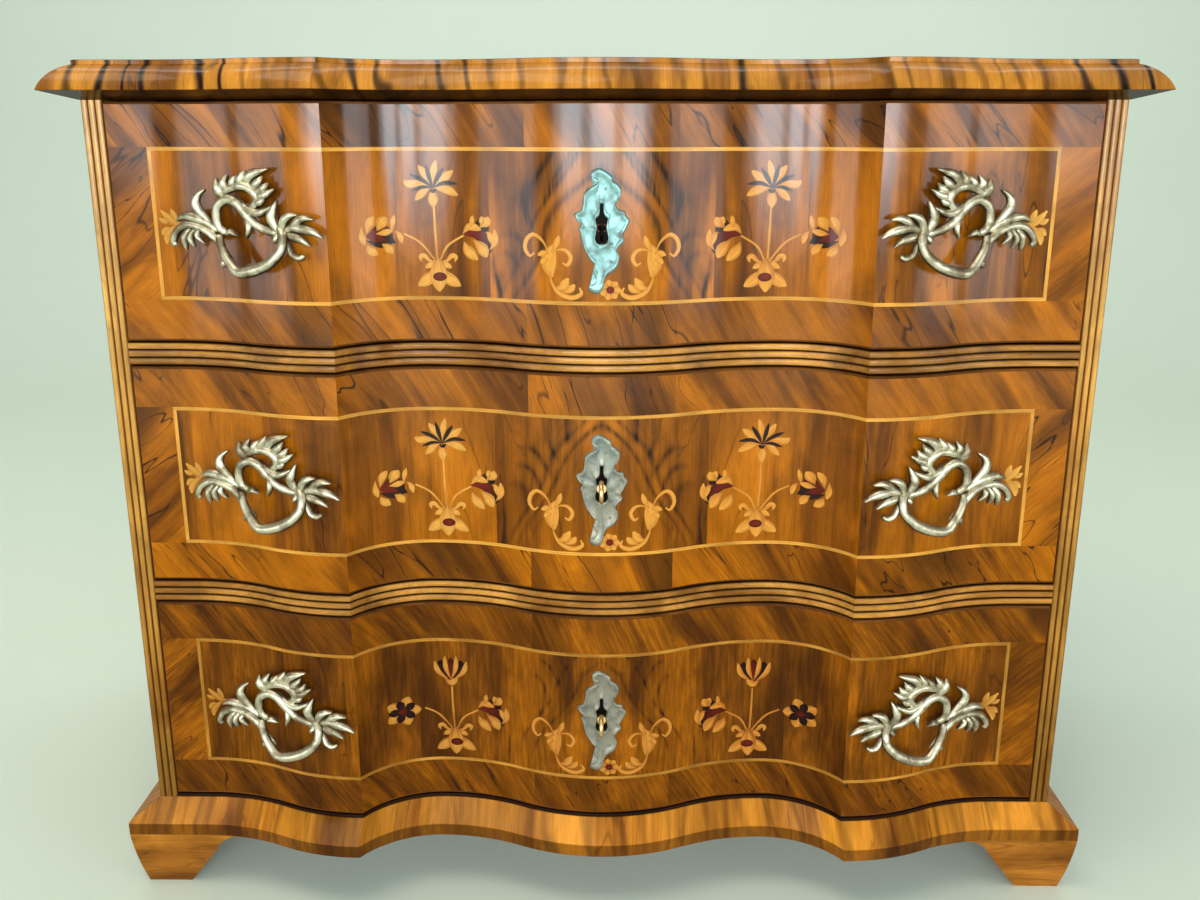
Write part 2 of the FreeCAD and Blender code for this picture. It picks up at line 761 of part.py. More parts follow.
def bracket_corners(outer, direction):
    """Outline of one wing of a foot: upright outside, slanted and hollowed inside."""
    run = s.foot_wing - s.foot_knee
    rise = s.foot_height - s.foot_knee_height
    radius = (run * run + rise * rise) / (2 * rise)
    margin = s.plinth_overhang * 2
    corners = [
        (outer - direction * margin, Size.of(0)),
        (outer + direction * s.foot_toe, Size.of(0)),
        (outer + direction * s.foot_knee, s.foot_knee_height, radius if direction < 0 else -radius),
        (outer + direction * s.foot_wing, s.foot_height),
        (outer - direction * margin, s.foot_height),
    ]
    return corners


def make_foot_blocks():
    """Softwood blocks in the corners behind the feet."""
    blocks = []
    low_z, high_z = s.foot_block_raise, s.foot_height
    outer = HALF_BODY - s.foot_thickness
    near, far = FRONT + s.foot_thickness, BACK - s.foot_thickness
    for end, start, stop in (
        ("front", near, near + s.foot_block_side), ("rear", far - s.foot_block_side, far)
    ):
        low = (outer - s.foot_block_side, start, low_z)
        for name, first, last in part_sides(low, (outer, stop, high_z)):
            blocks.append(board(f"{end}_{name}_block", first, last))
    nodes.append(group("foot_blocks", blocks))


def make_feet(base_form):
    """Bracket feet: a shaped wing under the side, and one under the front or a plain one at the back."""
    for name, side in SIDES:
        inward = -side
        front_wing = padded(
            f"front_{name}_bracket",
            "XZ_Plane",
            bracket_corners(side * HALF_BODY, inward),
            FARTHEST + s.foot_thickness,
            (0, FRONT + s.foot_thickness, 0),
        )
        low, high = span(side, HALF_BODY - s.foot_thickness, HALF_BODY + FARTHEST)
        wings = {}
        for end, outer, direction in (("front", FRONT, 1), ("rear", BACK, -1)):
            wings[end] = padded(
                f"{end}_{name}_side_bracket",
                "YZ_Plane",
                bracket_corners(outer, direction),
                high - low,
                (low, 0, 0),
            )
        start, end = span(side, HALF_BODY - s.foot_wing, HALF_BODY + FARTHEST)
        rear_wing = board(
            f"rear_{name}_bracket", (start, BACK - s.foot_thickness, 0), (end, BACK, s.foot_height)
        )
        front = fused(f"front_{name}_brackets", [front_wing, wings["front"]])
        nodes.append(common(f"front_{name}_foot", base_form, front))
        rear = fused(f"rear_{name}_brackets", [rear_wing, wings["rear"]])
        nodes.append(common(f"rear_{name}_foot", base_form, rear))


# Drawers

def dovetails(label, side, bottom, root, length):
    """Tails on one end of a drawer side, reaching from the plane root by length along Y."""
    start, end = span(side, HALF_DRAWER - s.drawer_board, HALF_DRAWER)
    pitch = SIDE_HEIGHT / TAILS
    tails = []
    forward = Size.of(length).value < 0
    for i in range(TAILS):
        tail = add("Part::Wedge", f"{label}_tail_{i + 1}")
        middle = bottom + (i + 0.5) * pitch
        narrow, wide = s.tail_root / 2, s.tail_root / 2 + s.tail_flare
        at_low, at_high = (wide, narrow) if forward else (narrow, wide)
        low_y, high_y = (root + length, root) if forward else (root, root + length)
        for name, size in (
            ("Xmin", start), ("Xmax", end), ("X2min", start), ("X2max", end),
            ("Ymin", low_y), ("Ymax", high_y),
            ("Zmin", middle - at_low), ("Zmax", middle + at_low),
            ("Z2min", middle - at_high), ("Z2max", middle + at_high),
        ):
            bind(tail, name, size)
        tails.append(tail)
    return tails


def make_drawer_sides(level):
    """Sides with tails at both ends and a groove for the bottom; gives the tails for the other boards."""
    bottom = drawer_side_bottom(level)
    groove_low = bottom + s.drawer_base_raise
    front_tails, back_tails = [], []
    for name, side in SIDES:
        label = f"{level}_drawer_{name}_side"
        start, end = span(side, HALF_DRAWER - s.drawer_board, HALF_DRAWER)
        plank = board(
            f"{label}_board",
            (start, INNER, bottom),
            (end, DRAWER_BACK - s.drawer_board, bottom + SIDE_HEIGHT),
        )
        front = dovetails(f"{label}_front", side, bottom, INNER, -s.tail_length)
        back = dovetails(f"{label}_back", side, bottom, DRAWER_BACK - s.drawer_board, s.drawer_board)
        groove_start, groove_end = span(
            side, HALF_DRAWER - s.drawer_board - 1, HALF_DRAWER - s.drawer_board + s.groove_depth
        )
        groove = board(
            f"{label}_groove",
            (groove_start, INNER - 1, groove_low),
            (groove_end, DRAWER_BACK + 1, groove_low + s.drawer_base),
        )
        nodes.append(cut(label, fused(f"{label}_blank", [plank] + front + back), groove))
        front_tails += front
        back_tails += back
    return front_tails, back_tails


def make_drawer_back(level, tails):
    bottom = drawer_side_bottom(level)
    plank = board(
        f"{level}_drawer_back_board",
        (-HALF_DRAWER, DRAWER_BACK - s.drawer_board, bottom + s.drawer_base_raise + s.drawer_base),
        (HALF_DRAWER, DRAWER_BACK, bottom + SIDE_HEIGHT),
    )
    nodes.append(cut(f"{level}_drawer_back", plank, fused(f"{level}_drawer_back_sockets", tails)))


def drawer_bottom_corners(level):
    half = HALF_DRAWER - s.drawer_board + s.groove_depth
    low = drawer_side_bottom(level) + s.drawer_base_raise
    return (-half, INNER - s.groove_depth, low), (half, DRAWER_BACK, low + s.drawer_base)


def drawer_front_form(level):
    """A drawer front before any cutting: serpentine outside, flat inside, long edges rounded."""
    bottom, top = front_bottom(level).value, (front_bottom(level) + s.drawer_height).value
    r = s.front_edge_round.value
    corner = r * (1 - math.sqrt(0.5))
    deep = 2 * s.body_depth.value
    section = [(deep, bottom), (r, bottom), via(corner, bottom + corner), (0, bottom + r)]
    section += [(0, top - r), via(corner, top - corner), (r, top), (deep, top)]
    form = shaped(f"{level}_front_form", along_front(section))
    room = board(
        f"{level}_front_room",
        (-HALF_DRAWER, FRONT - FARTHEST, front_bottom(level) - 1),
        (HALF_DRAWER, INNER, front_bottom(level) + s.drawer_height + 1),
    )
    return common(f"{level}_front_blank", form, room)


def keyhole(level):
    """Round hole for the stem of the key and a slot below it for the bit."""
    z = key_height(level)
    radius = s.key_radius + s.running_clearance
    length = FARTHEST + s.front_thickness + s.lock_depth
    slot = s.key_bit_thickness / 2 + s.running_clearance
    return [
        rod(f"{level}_key_hole", radius, (0, FRONT - FARTHEST, z), length, Vector(0, 1, 0)),
        board(
            f"{level}_key_slot",
            (-slot, FRONT - FARTHEST, z - s.key_bit_reach - s.running_clearance),
            (slot, FRONT - FARTHEST + length, z),
        ),
    ]


def stud_positions(level):
    """X and Z of the screws of both pulls of a drawer."""
    z = key_height(level) + s.handle_rise - s.handle_height * PULL_FEET
    for _, side in SIDES:
        for step in (-1, 1):
            yield side * (PULL_X + step * s.stud_spacing / 2), z


def make_drawer_front(level, blank, tails):
    """Sockets for the tails, a groove for the bottom, the keyhole and holes for the pulls' screws."""
    low, high = drawer_bottom_corners(level)
    tools = list(tails)
    tools.append(board(f"{level}_front_groove", low, (high[0], INNER + 1, high[2])))
    tools += keyhole(level)
    for i, (x, z) in enumerate(stud_positions(level)):
        start = (x, FRONT - FARTHEST, z)
        length = FARTHEST + s.front_thickness + 1
        hole = s.stud_radius + s.running_clearance
        tools.append(rod(f"{level}_stud_hole_{i + 1}", hole, start, length, Vector(0, 1, 0)))
    nodes.append(cut(f"{level}_drawer_front", blank, fused(f"{level}_front_cuts", tools)))


# Locks and keys

def make_lock(level):
    """Open-fronted iron case on the inside of the drawer front, with a staple above for the bolt."""
    z = key_height(level)
    top = front_bottom(level) + s.drawer_height
    half, wall = s.lock_width / 2, s.lock_wall
    shell = board(
        f"{level}_lock_shell",
        (-half, INNER, z - s.lock_drop),
        (half, INNER + s.lock_depth, z + s.lock_rise),
    )
    hollow = board(
        f"{level}_lock_hollow",
        (-half + wall, INNER - 1, z - s.lock_drop + wall),
        (half - wall, INNER + s.lock_depth - wall, z + s.lock_rise - wall),
    )
    slide_half = s.bolt_width / 2 + s.running_clearance
    slide_depth = s.bolt_thickness / 2 + s.running_clearance
    middle = INNER + s.lock_depth / 2
    slide = board(
        f"{level}_lock_slide",
        (-slide_half, middle - slide_depth, z),
        (slide_half, middle + slide_depth, top + 1),
    )
    case = cut(f"{level}_lock_box", cut(f"{level}_lock_open_box", shell, hollow), slide)
    staple = board(
        f"{level}_lock_staple_block",
        (-slide_half - 3 * wall, INNER, top - 2 * s.keeper_height),
        (slide_half + 3 * wall, INNER + s.lock_depth, top - s.keeper_height),
    )
    nodes.append(group(f"{level}_lock_case", [case, cut(f"{level}_lock_staple", staple, slide)]))


def make_bolt(level):
    """Flat bolt; its lower plate has a window that leaves room for the bit as the key turns."""
    z = key_height(level)
    top = front_bottom(level) + s.drawer_height
    middle = INNER + s.lock_depth / 2
    near, far = middle - s.bolt_thickness / 2, middle + s.bolt_thickness / 2
    window = s.key_bit_reach + 2 * s.running_clearance
    rim = s.bolt_plate_width / 2 - window
    shank = board(
        f"{level}_bolt_shank",
        (-s.bolt_width / 2, near, z),
        (s.bolt_width / 2, far, top - s.running_clearance),
    )
    plate = board(
        f"{level}_bolt_plate",
        (-s.bolt_plate_width / 2, near, z - s.bolt_throw - window - rim / 2),
        (s.bolt_plate_width / 2, far, z + window + rim),
    )
    start = (0, near - 1, z)
    length = s.bolt_thickness + 2
    tools = [
        rod(f"{level}_bolt_window_top", window, start, length, Vector(0, 1, 0)),
        rod(
            f"{level}_bolt_window_bottom",
            window,
            (0, near - 1, z - s.bolt_throw),
            length,
            Vector(0, 1, 0),
        ),
        board(
            f"{level}_bolt_window",
            (-window, near - 1, z - s.bolt_throw),
            (window, far + 1, z),
        ),
    ]
    blank = fused(f"{level}_bolt_blank", [shank, plate])
    nodes.append(cut(f"{level}_lock_bolt", blank, fused(f"{level}_bolt_cuts", tools)))


def make_key(level):
    """Turned stem with a collar, a ring bow and a flat bit that hangs in the lock."""
    z = key_height(level)
    face = FRONT - s.centre_depth - s.plate_thickness
    bow_middle = face - s.key_stand
    end = INNER + s.lock_depth - s.lock_wall - 2 * s.running_clearance
    stem_start = bow_middle + s.key_bow_radius
    stem = rod(f"{level}_key_stem", s.key_radius, (0, stem_start, z), end - stem_start, Vector(0, 1, 0))
    collar = rod(
        f"{level}_key_collar",
        s.key_radius + 1.5,
        (0, stem_start + s.key_bow_wire, z),
        s.key_bow_wire,
        Vector(0, 1, 0),
    )
    bow = add("Part::Torus", f"{level}_key_bow")
    bind(bow, "Radius1", s.key_bow_radius)
    bind(bow, "Radius2", s.key_bow_wire)
    bow.Placement = Placement(Vector(), Rotation(Vector(0, 0, 1), Vector(1, 0, 0)))
    place(bow, (0, bow_middle, z))
    middle = INNER + s.lock_depth / 2
    bit = board(
        f"{level}_key_bit",
        (-s.key_bit_thickness / 2, middle - s.key_bit_length / 2, z - s.key_bit_reach),
        (s.key_bit_thickness / 2, middle + s.key_bit_length / 2, z),
    )
    nodes.append(fused(f"{level}_key", [stem, collar, bow, bit]))


# Brass mounts

# Stems of the openwork of a pull, as hundredths of its width towards the middle of the chest and of its
# height upwards, from the middle of the pull.  Each runs through its points as a smooth curve.
STEMS = [
    [(-16, -38), (-15, -31), (-20, -16), (-28, -9), (-38, -8), (-45, -13), (-48, -22)],
    [(-20, -12), (-30, 1), (-41, 2), (-46, -2)],
    [(-20, -10), (-27, 6), (-30, 16), (-26, 28)],
    [(-17, -17), (-19, 0), (-17, 14), (-10, 20), (-4, 17), (4, 1), (11, -8), (22, -14)],
    [(-13, 21), (-10, 30), (-2, 35), (4, 31), (8, 22), (4, 12)],
    [(-12, 26), (-15, 33), (-17, 40)],
    [(-8, 32), (-10, 38), (-9, 43)],
    [(-2, 35), (5, 43), (16, 48)],
    [(5, 30), (12, 32), (18, 31)],
    [(-6, 22), (3, 12), (10, 8), (19, 15)],
    [(22, -14), (19, 4), (21, 20)],
    [(22, -14), (25, 2), (34, 7)],
    [(22, -14), (30, -4), (38, -1), (49, -8)],
    [(22, -15), (34, -14), (47, -9)],
    [(22, -15), (28, -24), (33, -33), (36, -31)],
    [(-34, -9), (-39, -18), (-40, -28)],
    [(-32, -10), (-29, -13), (-26, -20)],
]
GRIP = [(-18.5, -14.5), (-12, -29), (-3, -43), (14, -37), (22, -14.5)]
GRIP_RISE = (0, 0.75, 1, 0.75, 0)
STEM_STEPS = 6
STEM_TIP = 0.5


def stem_face(points, width):
    """A flat stem that tapers to both ends along a smooth curve through its points."""
    curve = Part.BSplineCurve()
    curve.interpolate([Vector(a, b, 0) for a, b in points])
    first, last = curve.FirstParameter, curve.LastParameter
    steps = STEM_STEPS + len(points)
    edges = {1: [], -1: []}
    for i in range(steps + 1):
        share = i / steps
        at = first + share * (last - first)
        point, tangent = curve.value(at), curve.tangent(at)[0]
        normal = Vector(-tangent.y, tangent.x, 0)
        half = width / 2 * (STEM_TIP + (1 - STEM_TIP) * math.sin(math.pi * share))
        for side in edges:
            edges[side].append(point + normal * (side * half))
    outlines = []
    for side in edges:
        outline = Part.BSplineCurve()
        outline.interpolate(edges[side])
        outlines.append(outline.toShape())
    ends = [Part.LineSegment(edges[1][i], edges[-1][i]).toShape() for i in (0, -1)]
    return Part.Face(Part.Wire([outlines[0], ends[1], outlines[1], ends[0]]))


def pull_frame():
    """Place of the lowest left pull: X along the flank to the middle of the chest, Y up, Z outwards."""
    turn = math.radians(s.handle_turn.value)
    x = PULL_X.value
    z = key_height("lower") + s.handle_rise
    base = Vector(-x, FRONT.value - plan_depth(x), z.value)
    along = Vector(math.cos(turn), -math.sin(turn), 0)
    out = Vector(-math.sin(turn), -math.cos(turn), 0)
    return Placement(base, Rotation(along, Vector(0, 0, 1), out, "XYZ"))


def pull_form(front_form):
    """Cast openwork, a grip that stands out below it and two feet that sit on the curved front."""
    wide, high = s.handle_width.value / 100, s.handle_height.value / 100
    lift, thick = s.handle_lift.value, s.handle_thickness.value
    faces = []
    for stem in STEMS:
        faces.append(stem_face([(a * wide, b * high) for a, b in stem], s.handle_stroke.value))
    flat = faces[0].fuse(faces[1:]).removeSplitter()
    plate = flat.Faces[0].extrude(Vector(0, 0, thick))
    plate.translate(Vector(0, 0, lift))

    root = lift + thick / 2
    stand = s.grip_stand.value - root
    line = Part.BSplineCurve()
    line.interpolate(
        [Vector(a * wide, b * high, root + rise * stand) for (a, b), rise in zip(GRIP, GRIP_RISE)]
    )
    start = line.FirstParameter
    ring = Part.Circle(line.value(start), line.tangent(start)[0], s.grip_radius.value)
    path = Part.Wire(line.toShape())
    grip = path.makePipeShell([Part.Wire(ring.toShape())], True, False)

    casting = plate.fuse(grip)
    casting.Placement = pull_frame()
    feet, holes = [], []
    for x, z in list(stud_positions("lower"))[:2]:
        x, z = x.value, z.value
        face_y = FRONT.value - plan_depth(x)
        plate_y = pull_plate_depth(x)
        foot_start = Vector(x, plate_y - thick, z)
        back = Vector(0, 1, 0)
        depth = s.arris_depth.value + lift + thick
        feet.append(Part.makeCylinder(s.boss_radius.value, depth, foot_start, back))
        hole = s.stud_radius.value + s.running_clearance.value
        holes.append(Part.makeCylinder(hole, depth, Vector(x, min(plate_y, face_y), z), back))
    casting = casting.fuse(feet).cut(front_form.Shape).cut(holes)
    return casting.Solids[0]


def pull_plate_depth(x):
    """Y of the back of a pull's openwork at a given X."""
    turn = math.radians(s.handle_turn.value)
    centre = PULL_X.value
    run = centre - abs(x)
    lift = s.handle_lift.value
    return FRONT.value - plan_depth(centre) - run * math.tan(turn) - lift / math.cos(turn)


def make_pulls(level, form):
    """Left pull, its mirror image on the right, and the screws with their nuts inside the drawer."""
    left = shaped(f"{level}_left_handle", form)
    rise = opening_floor(level) - opening_floor("lower")
    bind(left, "Placement.Base.z", rise)
    right = add("Part::Mirroring", f"{level}_right_handle")
    right.Source = left
    right.Normal = Vector(1, 0, 0)
    nodes.extend([left, right])
    screws = []
    half = s.nut_side / 2
    for i, (x, z) in enumerate(stud_positions(level)):
        start = Size.of(pull_plate_depth(x.value) + s.running_clearance.value)
        end = INNER + s.nut_height + 2
        stud = rod(f"{level}_stud_{i + 1}", s.stud_radius, (x, start, z), end - start, Vector(0, 1, 0))
        nut = board(
            f"{level}_nut_{i + 1}", (x - half, INNER, z - half), (x + half, INNER + s.nut_height, z + half)
        )
        screws.append(fused(f"{level}_screw_{i + 1}", [stud, nut]))
    nodes.append(group(f"{level}_handle_bolts", screws))


# Edge of an escutcheon in percent of its width and height, from its middle.
PLATE_EDGE = [
    (-19, 46), (-4, 50), (6, 48), (17, 44), (20, 40), (35, 33), (33, 28), (24, 22), (31, 17), (43, 13),
    (50, 9), (46, 5), (37, -3), (41, -7), (33, -11), (27, -15), (32, -20), (29, -27), (10, -35), (5, -40),
    (-6, -50), (-24, -47), (-13, -44), (-10, -40), (-15, -32), (-12, -27), (-29, -16), (-39, -1), (-42, 2),
    (-37, 6), (-50, 14), (-37, 17), (-31, 31), (-19, 35), (-8, 39), (-11, 43),
]


def make_escutcheon(level):
    """Thin cartouche with a curled edge, bent to the round middle of the front, with a keyhole."""
    z = key_height(level)
    middle = (z - s.plate_drop).value
    wide, high = s.plate_width.value / 100, s.plate_height.value / 100
    outline = [Vector(across * wide, 0, middle + up * high) for across, up in PLATE_EDGE]
    curve = Part.BSplineCurve()
    curve.interpolate(outline, PeriodicFlag=True)
    start = (FRONT - FARTHEST).value
    face = Part.Face(Part.Wire(curve.toShape()))
    prism = face.extrude(Vector(0, FARTHEST.value, 0))
    prism.translate(Vector(0, start, 0))
    thick = s.plate_thickness.value
    low, high = front_bottom(level).value, (front_bottom(level) + s.drawer_height).value
    sheet_form = along_front([(-thick, low), (0, low), (0, high), (-thick, high)])
    blank = common(
        f"{level}_plate_blank",
        shaped(f"{level}_plate_sheet", sheet_form),
        shaped(f"{level}_plate_outline", prism),
    )
    radius, neck = s.aperture_width / 2, s.aperture_neck / 2
    front = FRONT - FARTHEST
    shoulder = z + s.aperture_shoulder
    tools = [
        rod(f"{level}_aperture_round", radius, (0, front, shoulder), FARTHEST, Vector(0, 1, 0)),
        board(f"{level}_aperture_body", (-radius, front, z - s.aperture_drop), (radius, FRONT, shoulder)),
        board(f"{level}_aperture_throat", (-neck, front, z), (neck, FRONT, z + s.aperture_rise)),
    ]
    nodes.append(cut(f"{level}_escutcheon", blank, fused(f"{level}_aperture", tools)))


def make_drawer(level):
    front_tails, back_tails = make_drawer_sides(level)
    blank = drawer_front_form(level)
    make_drawer_front(level, blank, front_tails)
    make_drawer_back(level, back_tails)
    nodes.append(board(f"{level}_drawer_bottom", *drawer_bottom_corners(level)))
    make_lock(level)
    make_bolt(level)
    if level in LEVELS_WITH_KEY:
        make_key(level)
    make_escutcheon(level)
    return blank


def check_and_write():
    """Stops on any object that failed, then writes one file for each node."""
    document.recompute()
    for item in document.Objects:
        if "Invalid" in item.State or "Error" in item.State:
            raise RuntimeError(f"{item.Label} did not build: {item.State}")
    os.makedirs("parts", exist_ok=True)
    for node in nodes:
        if node.Shape.isNull() or not node.Shape.isValid():
            raise RuntimeError(f"{node.Label} has no valid shape")
        node.Shape.exportStep(f"parts/{node.Label}.step")


nodes = []
front_line = draw_front_line()
document.recompute()
make_top()
make_side_panels()
make_back_boards()
make_bottom_board()
make_corner_posts()
make_rails()
make_base_bead()
make_runners()
make_drawer_stops()
base_form = make_base_form()
make_plinth(base_form)
make_feet(base_form)
make_foot_blocks()
front_blanks = {level: make_drawer(level) for level in LEVELS}
pull = pull_form(front_blanks["lower"].Base)
for level in LEVELS:
    make_pulls(level, pull)
check_and_write()
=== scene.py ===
"""Dresses the serpentine chest of drawers: veneers, inlay, cast mounts, varnish, light and camera.

Laid out as an add-on and run as a script.  Every length in the code is in metres, in the frame of the
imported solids: +X to the right, +Y to the back, +Z up.
"""

import math

import bmesh
import bpy
import numpy as np
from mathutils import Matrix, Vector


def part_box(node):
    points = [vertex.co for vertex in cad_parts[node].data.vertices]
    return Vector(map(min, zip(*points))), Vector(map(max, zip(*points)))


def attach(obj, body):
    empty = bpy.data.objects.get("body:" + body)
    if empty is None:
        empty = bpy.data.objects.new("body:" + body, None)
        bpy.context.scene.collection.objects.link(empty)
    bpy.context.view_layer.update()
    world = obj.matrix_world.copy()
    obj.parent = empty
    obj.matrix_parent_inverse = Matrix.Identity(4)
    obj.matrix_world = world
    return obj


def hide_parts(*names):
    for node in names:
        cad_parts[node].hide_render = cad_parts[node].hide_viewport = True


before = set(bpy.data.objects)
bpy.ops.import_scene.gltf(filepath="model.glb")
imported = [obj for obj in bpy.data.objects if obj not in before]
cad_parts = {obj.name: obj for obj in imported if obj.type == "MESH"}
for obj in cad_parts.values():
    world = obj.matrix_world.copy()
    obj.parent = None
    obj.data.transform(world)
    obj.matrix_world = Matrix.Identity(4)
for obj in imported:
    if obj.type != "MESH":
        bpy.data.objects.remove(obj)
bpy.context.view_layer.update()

bl_info = {
    "name": "Serpentine chest of drawers",
    "version": (1, 0, 0),
    "blender": (4, 5, 0),
    "location": "3D View > Sidebar > Chest",
    "description": "Veneers, inlay, cast mounts, varnish and a studio for a serpentine chest of drawers",
    "category": "Object",
}

LEVELS = ("lower", "middle", "upper")
SIDES = (("left", -1), ("right", 1))

# Line of the front in plan, as in the solids.
BODY_HALF = 0.510
FRONT_Y = -0.2375
BACK_Y = 0.3075
FLANK_START = 0.446
ARRIS_X = 0.266
ARRIS_DEPTH = 0.041
RECESS_X = 0.180
RECESS_DEPTH = 0.004
CENTRE_DEPTH = 0.036
FRONT_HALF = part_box("upper_drawer_front")[1][0]
TOP_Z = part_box("top")[1][2]
PULL_X = 0.347
PULL_TURN = math.radians(14)
PULL_WIDTH = 0.166
PULL_HEIGHT = 0.104
PULL_RISE = 0.006
PULL_SHIFT = 0.004
BACK_PLANKS = 3
KEY_HOLE = 0.0038
KEY_SLOT = 0.0133


def drawer_middle(level):
    """Height of the middle of a drawer front."""
    low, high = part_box(f"{level}_drawer_front")
    return (low[2] + high[2]) / 2


def front_depth(x):
    """How far the front stands before the posts at x: flat, ogee flank, hollow and round middle.

    Each stretch is an arc of radius r, and over a run d from its level end an arc drops
    r - sqrt(r * r - d * d).
    """
    x = np.abs(np.asarray(x, dtype=float))
    flank = ((FLANK_START - ARRIS_X) ** 2 + ARRIS_DEPTH ** 2) / (4 * ARRIS_DEPTH)
    rise = ARRIS_DEPTH + RECESS_DEPTH
    hollow = ((ARRIS_X - RECESS_X) ** 2 + rise ** 2) / (2 * rise)
    swing = CENTRE_DEPTH + RECESS_DEPTH
    middle = (RECESS_X ** 2 + swing ** 2) / (4 * swing)

    def drop(radius, run):
        return radius - np.sqrt(np.maximum(radius ** 2 - run ** 2, 0))

    return np.select(
        [
            x >= FLANK_START,
            x >= (FLANK_START + ARRIS_X) / 2,
            x >= ARRIS_X,
            x >= RECESS_X,
            x >= RECESS_X / 2,
        ],
        [
            np.zeros_like(x),
            drop(flank, FLANK_START - x),
            ARRIS_DEPTH - drop(flank, x - ARRIS_X),
            drop(hollow, x - RECESS_X) - RECESS_DEPTH,
            drop(middle, RECESS_X - x) - RECESS_DEPTH,
        ],
        CENTRE_DEPTH - drop(middle, x),
    )


def on_front(x, z, lift):
    """Points of the front at x and z, lifted off it towards the viewer."""
    x, z = np.broadcast_arrays(np.asarray(x, dtype=float), np.asarray(z, dtype=float))
    return np.stack([x, FRONT_Y - front_depth(x) - lift, z], axis=-1)


def smooth_path(points, count):
    """A curve through the points, sampled evenly in its parameter (uniform Catmull-Rom)."""
    points = np.asarray(points, dtype=float)
    ends = np.vstack([2 * points[0] - points[1], points, 2 * points[-1] - points[-2]])
    at = np.linspace(0, len(points) - 1, count)
    index = np.minimum(at.astype(int), len(points) - 2)
    t = (at - index)[:, None]
    a, b, c, d = (ends[index + k] for k in range(4))
    return 0.5 * (2 * b + (c - a) * t + (2 * a - 5 * b + 4 * c - d) * t ** 2
                  + (3 * b - a - 3 * c + d) * t ** 3)


class Patchwork:
    """Gathers grids of points into one mesh, each with its own texture map, finish and shade."""

    def __init__(self):
        self.points = []
        self.maps = []
        self.shades = []
        self.faces = []
        self.finishes = []
        self.count = 0

    def add(self, points, texture, finish=0, shade=0.0, facing=None, closed=False):
        """Adds an n by m grid.  closed joins the last column to the first; facing says which way is out."""
        rows, columns = points.shape[:2]
        index = np.arange(rows * columns).reshape(rows, columns)
        right = np.roll(index, -1, axis=1)
        if not closed:
            index, right = index[:, :-1], right[:, :-1]
        quads = np.stack([index[:-1], right[:-1], right[1:], index[1:]], axis=-1).reshape(-1, 4)
        if facing is not None:
            flat = points.reshape(-1, 3)
            across = np.cross(flat[quads[:, 2]] - flat[quads[:, 0]], flat[quads[:, 3]] - flat[quads[:, 1]])
            if across.sum(axis=0) @ np.asarray(facing, dtype=float) < 0:
                quads = quads[:, ::-1]
        self.points.append(points.reshape(-1, 3))
        self.maps.append(np.broadcast_to(texture, (rows, columns, 2)).reshape(-1, 2))
        self.shades.append(np.broadcast_to(shade, (rows, columns)).reshape(-1))
        self.faces.append(quads + self.count)
        self.finishes.append(np.full(len(quads), finish))
        self.count += rows * columns

    def build(self, name, body, materials, replaces=(), weld=False, smooth=True):
        """Makes the mesh object, lets it ride on a body and hides the solids it stands for."""
        points = np.concatenate(self.points)
        faces = np.concatenate(self.faces)
        mesh = bpy.data.meshes.new(name)
        mesh.vertices.add(len(points))
        mesh.vertices.foreach_set("co", points.ravel())
        mesh.loops.add(faces.size)
        mesh.loops.foreach_set("vertex_index", faces.ravel().astype(np.int32))
        mesh.polygons.add(len(faces))
        mesh.polygons.foreach_set("loop_start", np.arange(0, faces.size, 4, dtype=np.int32))
        mesh.polygons.foreach_set("material_index", np.concatenate(self.finishes).astype(np.int32))
        mesh.polygons.foreach_set("use_smooth", np.full(len(faces), smooth))
        layer = mesh.uv_layers.new(name="veneer")
        layer.data.foreach_set("uv", np.concatenate(self.maps)[faces.ravel()].ravel())
        shade = mesh.attributes.new("shade", "FLOAT", "POINT")
        shade.data.foreach_set("value", np.concatenate(self.shades))
        mesh.update(calc_edges=True)
        if weld:
            work = bmesh.new()
            work.from_mesh(mesh)
            bmesh.ops.remove_doubles(work, verts=work.verts, dist=1e-6)
            bmesh.ops.dissolve_degenerate(work, edges=work.edges, dist=1e-7)
            bmesh.ops.recalc_face_normals(work, faces=work.faces)
            work.to_mesh(mesh)
            work.free()
        mesh.validate()
        for material in materials:
            mesh.materials.append(material)
        piece = bpy.data.objects.new(name, mesh)
        bpy.context.scene.collection.objects.link(piece)
        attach(piece, body)
        if replaces:
            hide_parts(*replaces)
        return piece


# Finishes

WOODS = {}
METALS = {}
# The varnish is worn off below the first height and whole above the second.
COAT_HEIGHTS = (0.35, 0.8)
COAT_ROUGHNESS = 0.13
WOOD_SHINE = 0.03
RELIEF_DEPTH = 0.0004
# Keeps the figure of the sides' mouldings apart from the front's.
SIDE_GRAIN_SHIFT = 4.0
# Turns that lay the grain along X, Y and Z.
LENGTHWISE = (0, 0, 0)
BACKWARD = (0, 0, math.radians(90))
UPRIGHT = (0, math.radians(90), 0)
# Below the first height the top's underside gets painted shade; below the second the plinth's foot is darker.
TOP_SHADOW_Z = 0.878
PLINTH_FOOT_Z = 0.082
REEDS = 3
REED_DEPTH = 0.008
REED_FADE = 0.003
# Heights between which a post darkens downwards, and the share of its light left at the foot.
POST_SHADE = (0.05, 0.8, 0.42)


def linear(red, green, blue):
    """A screen colour of 0 to 255 as the linear values that shaders use."""
    values = np.array([red, green, blue]) / 255
    low = values / 12.92
    high = ((values + 0.055) / 1.055) ** 2.4
    return (*np.where(values <= 0.04045, low, high), 1.0)


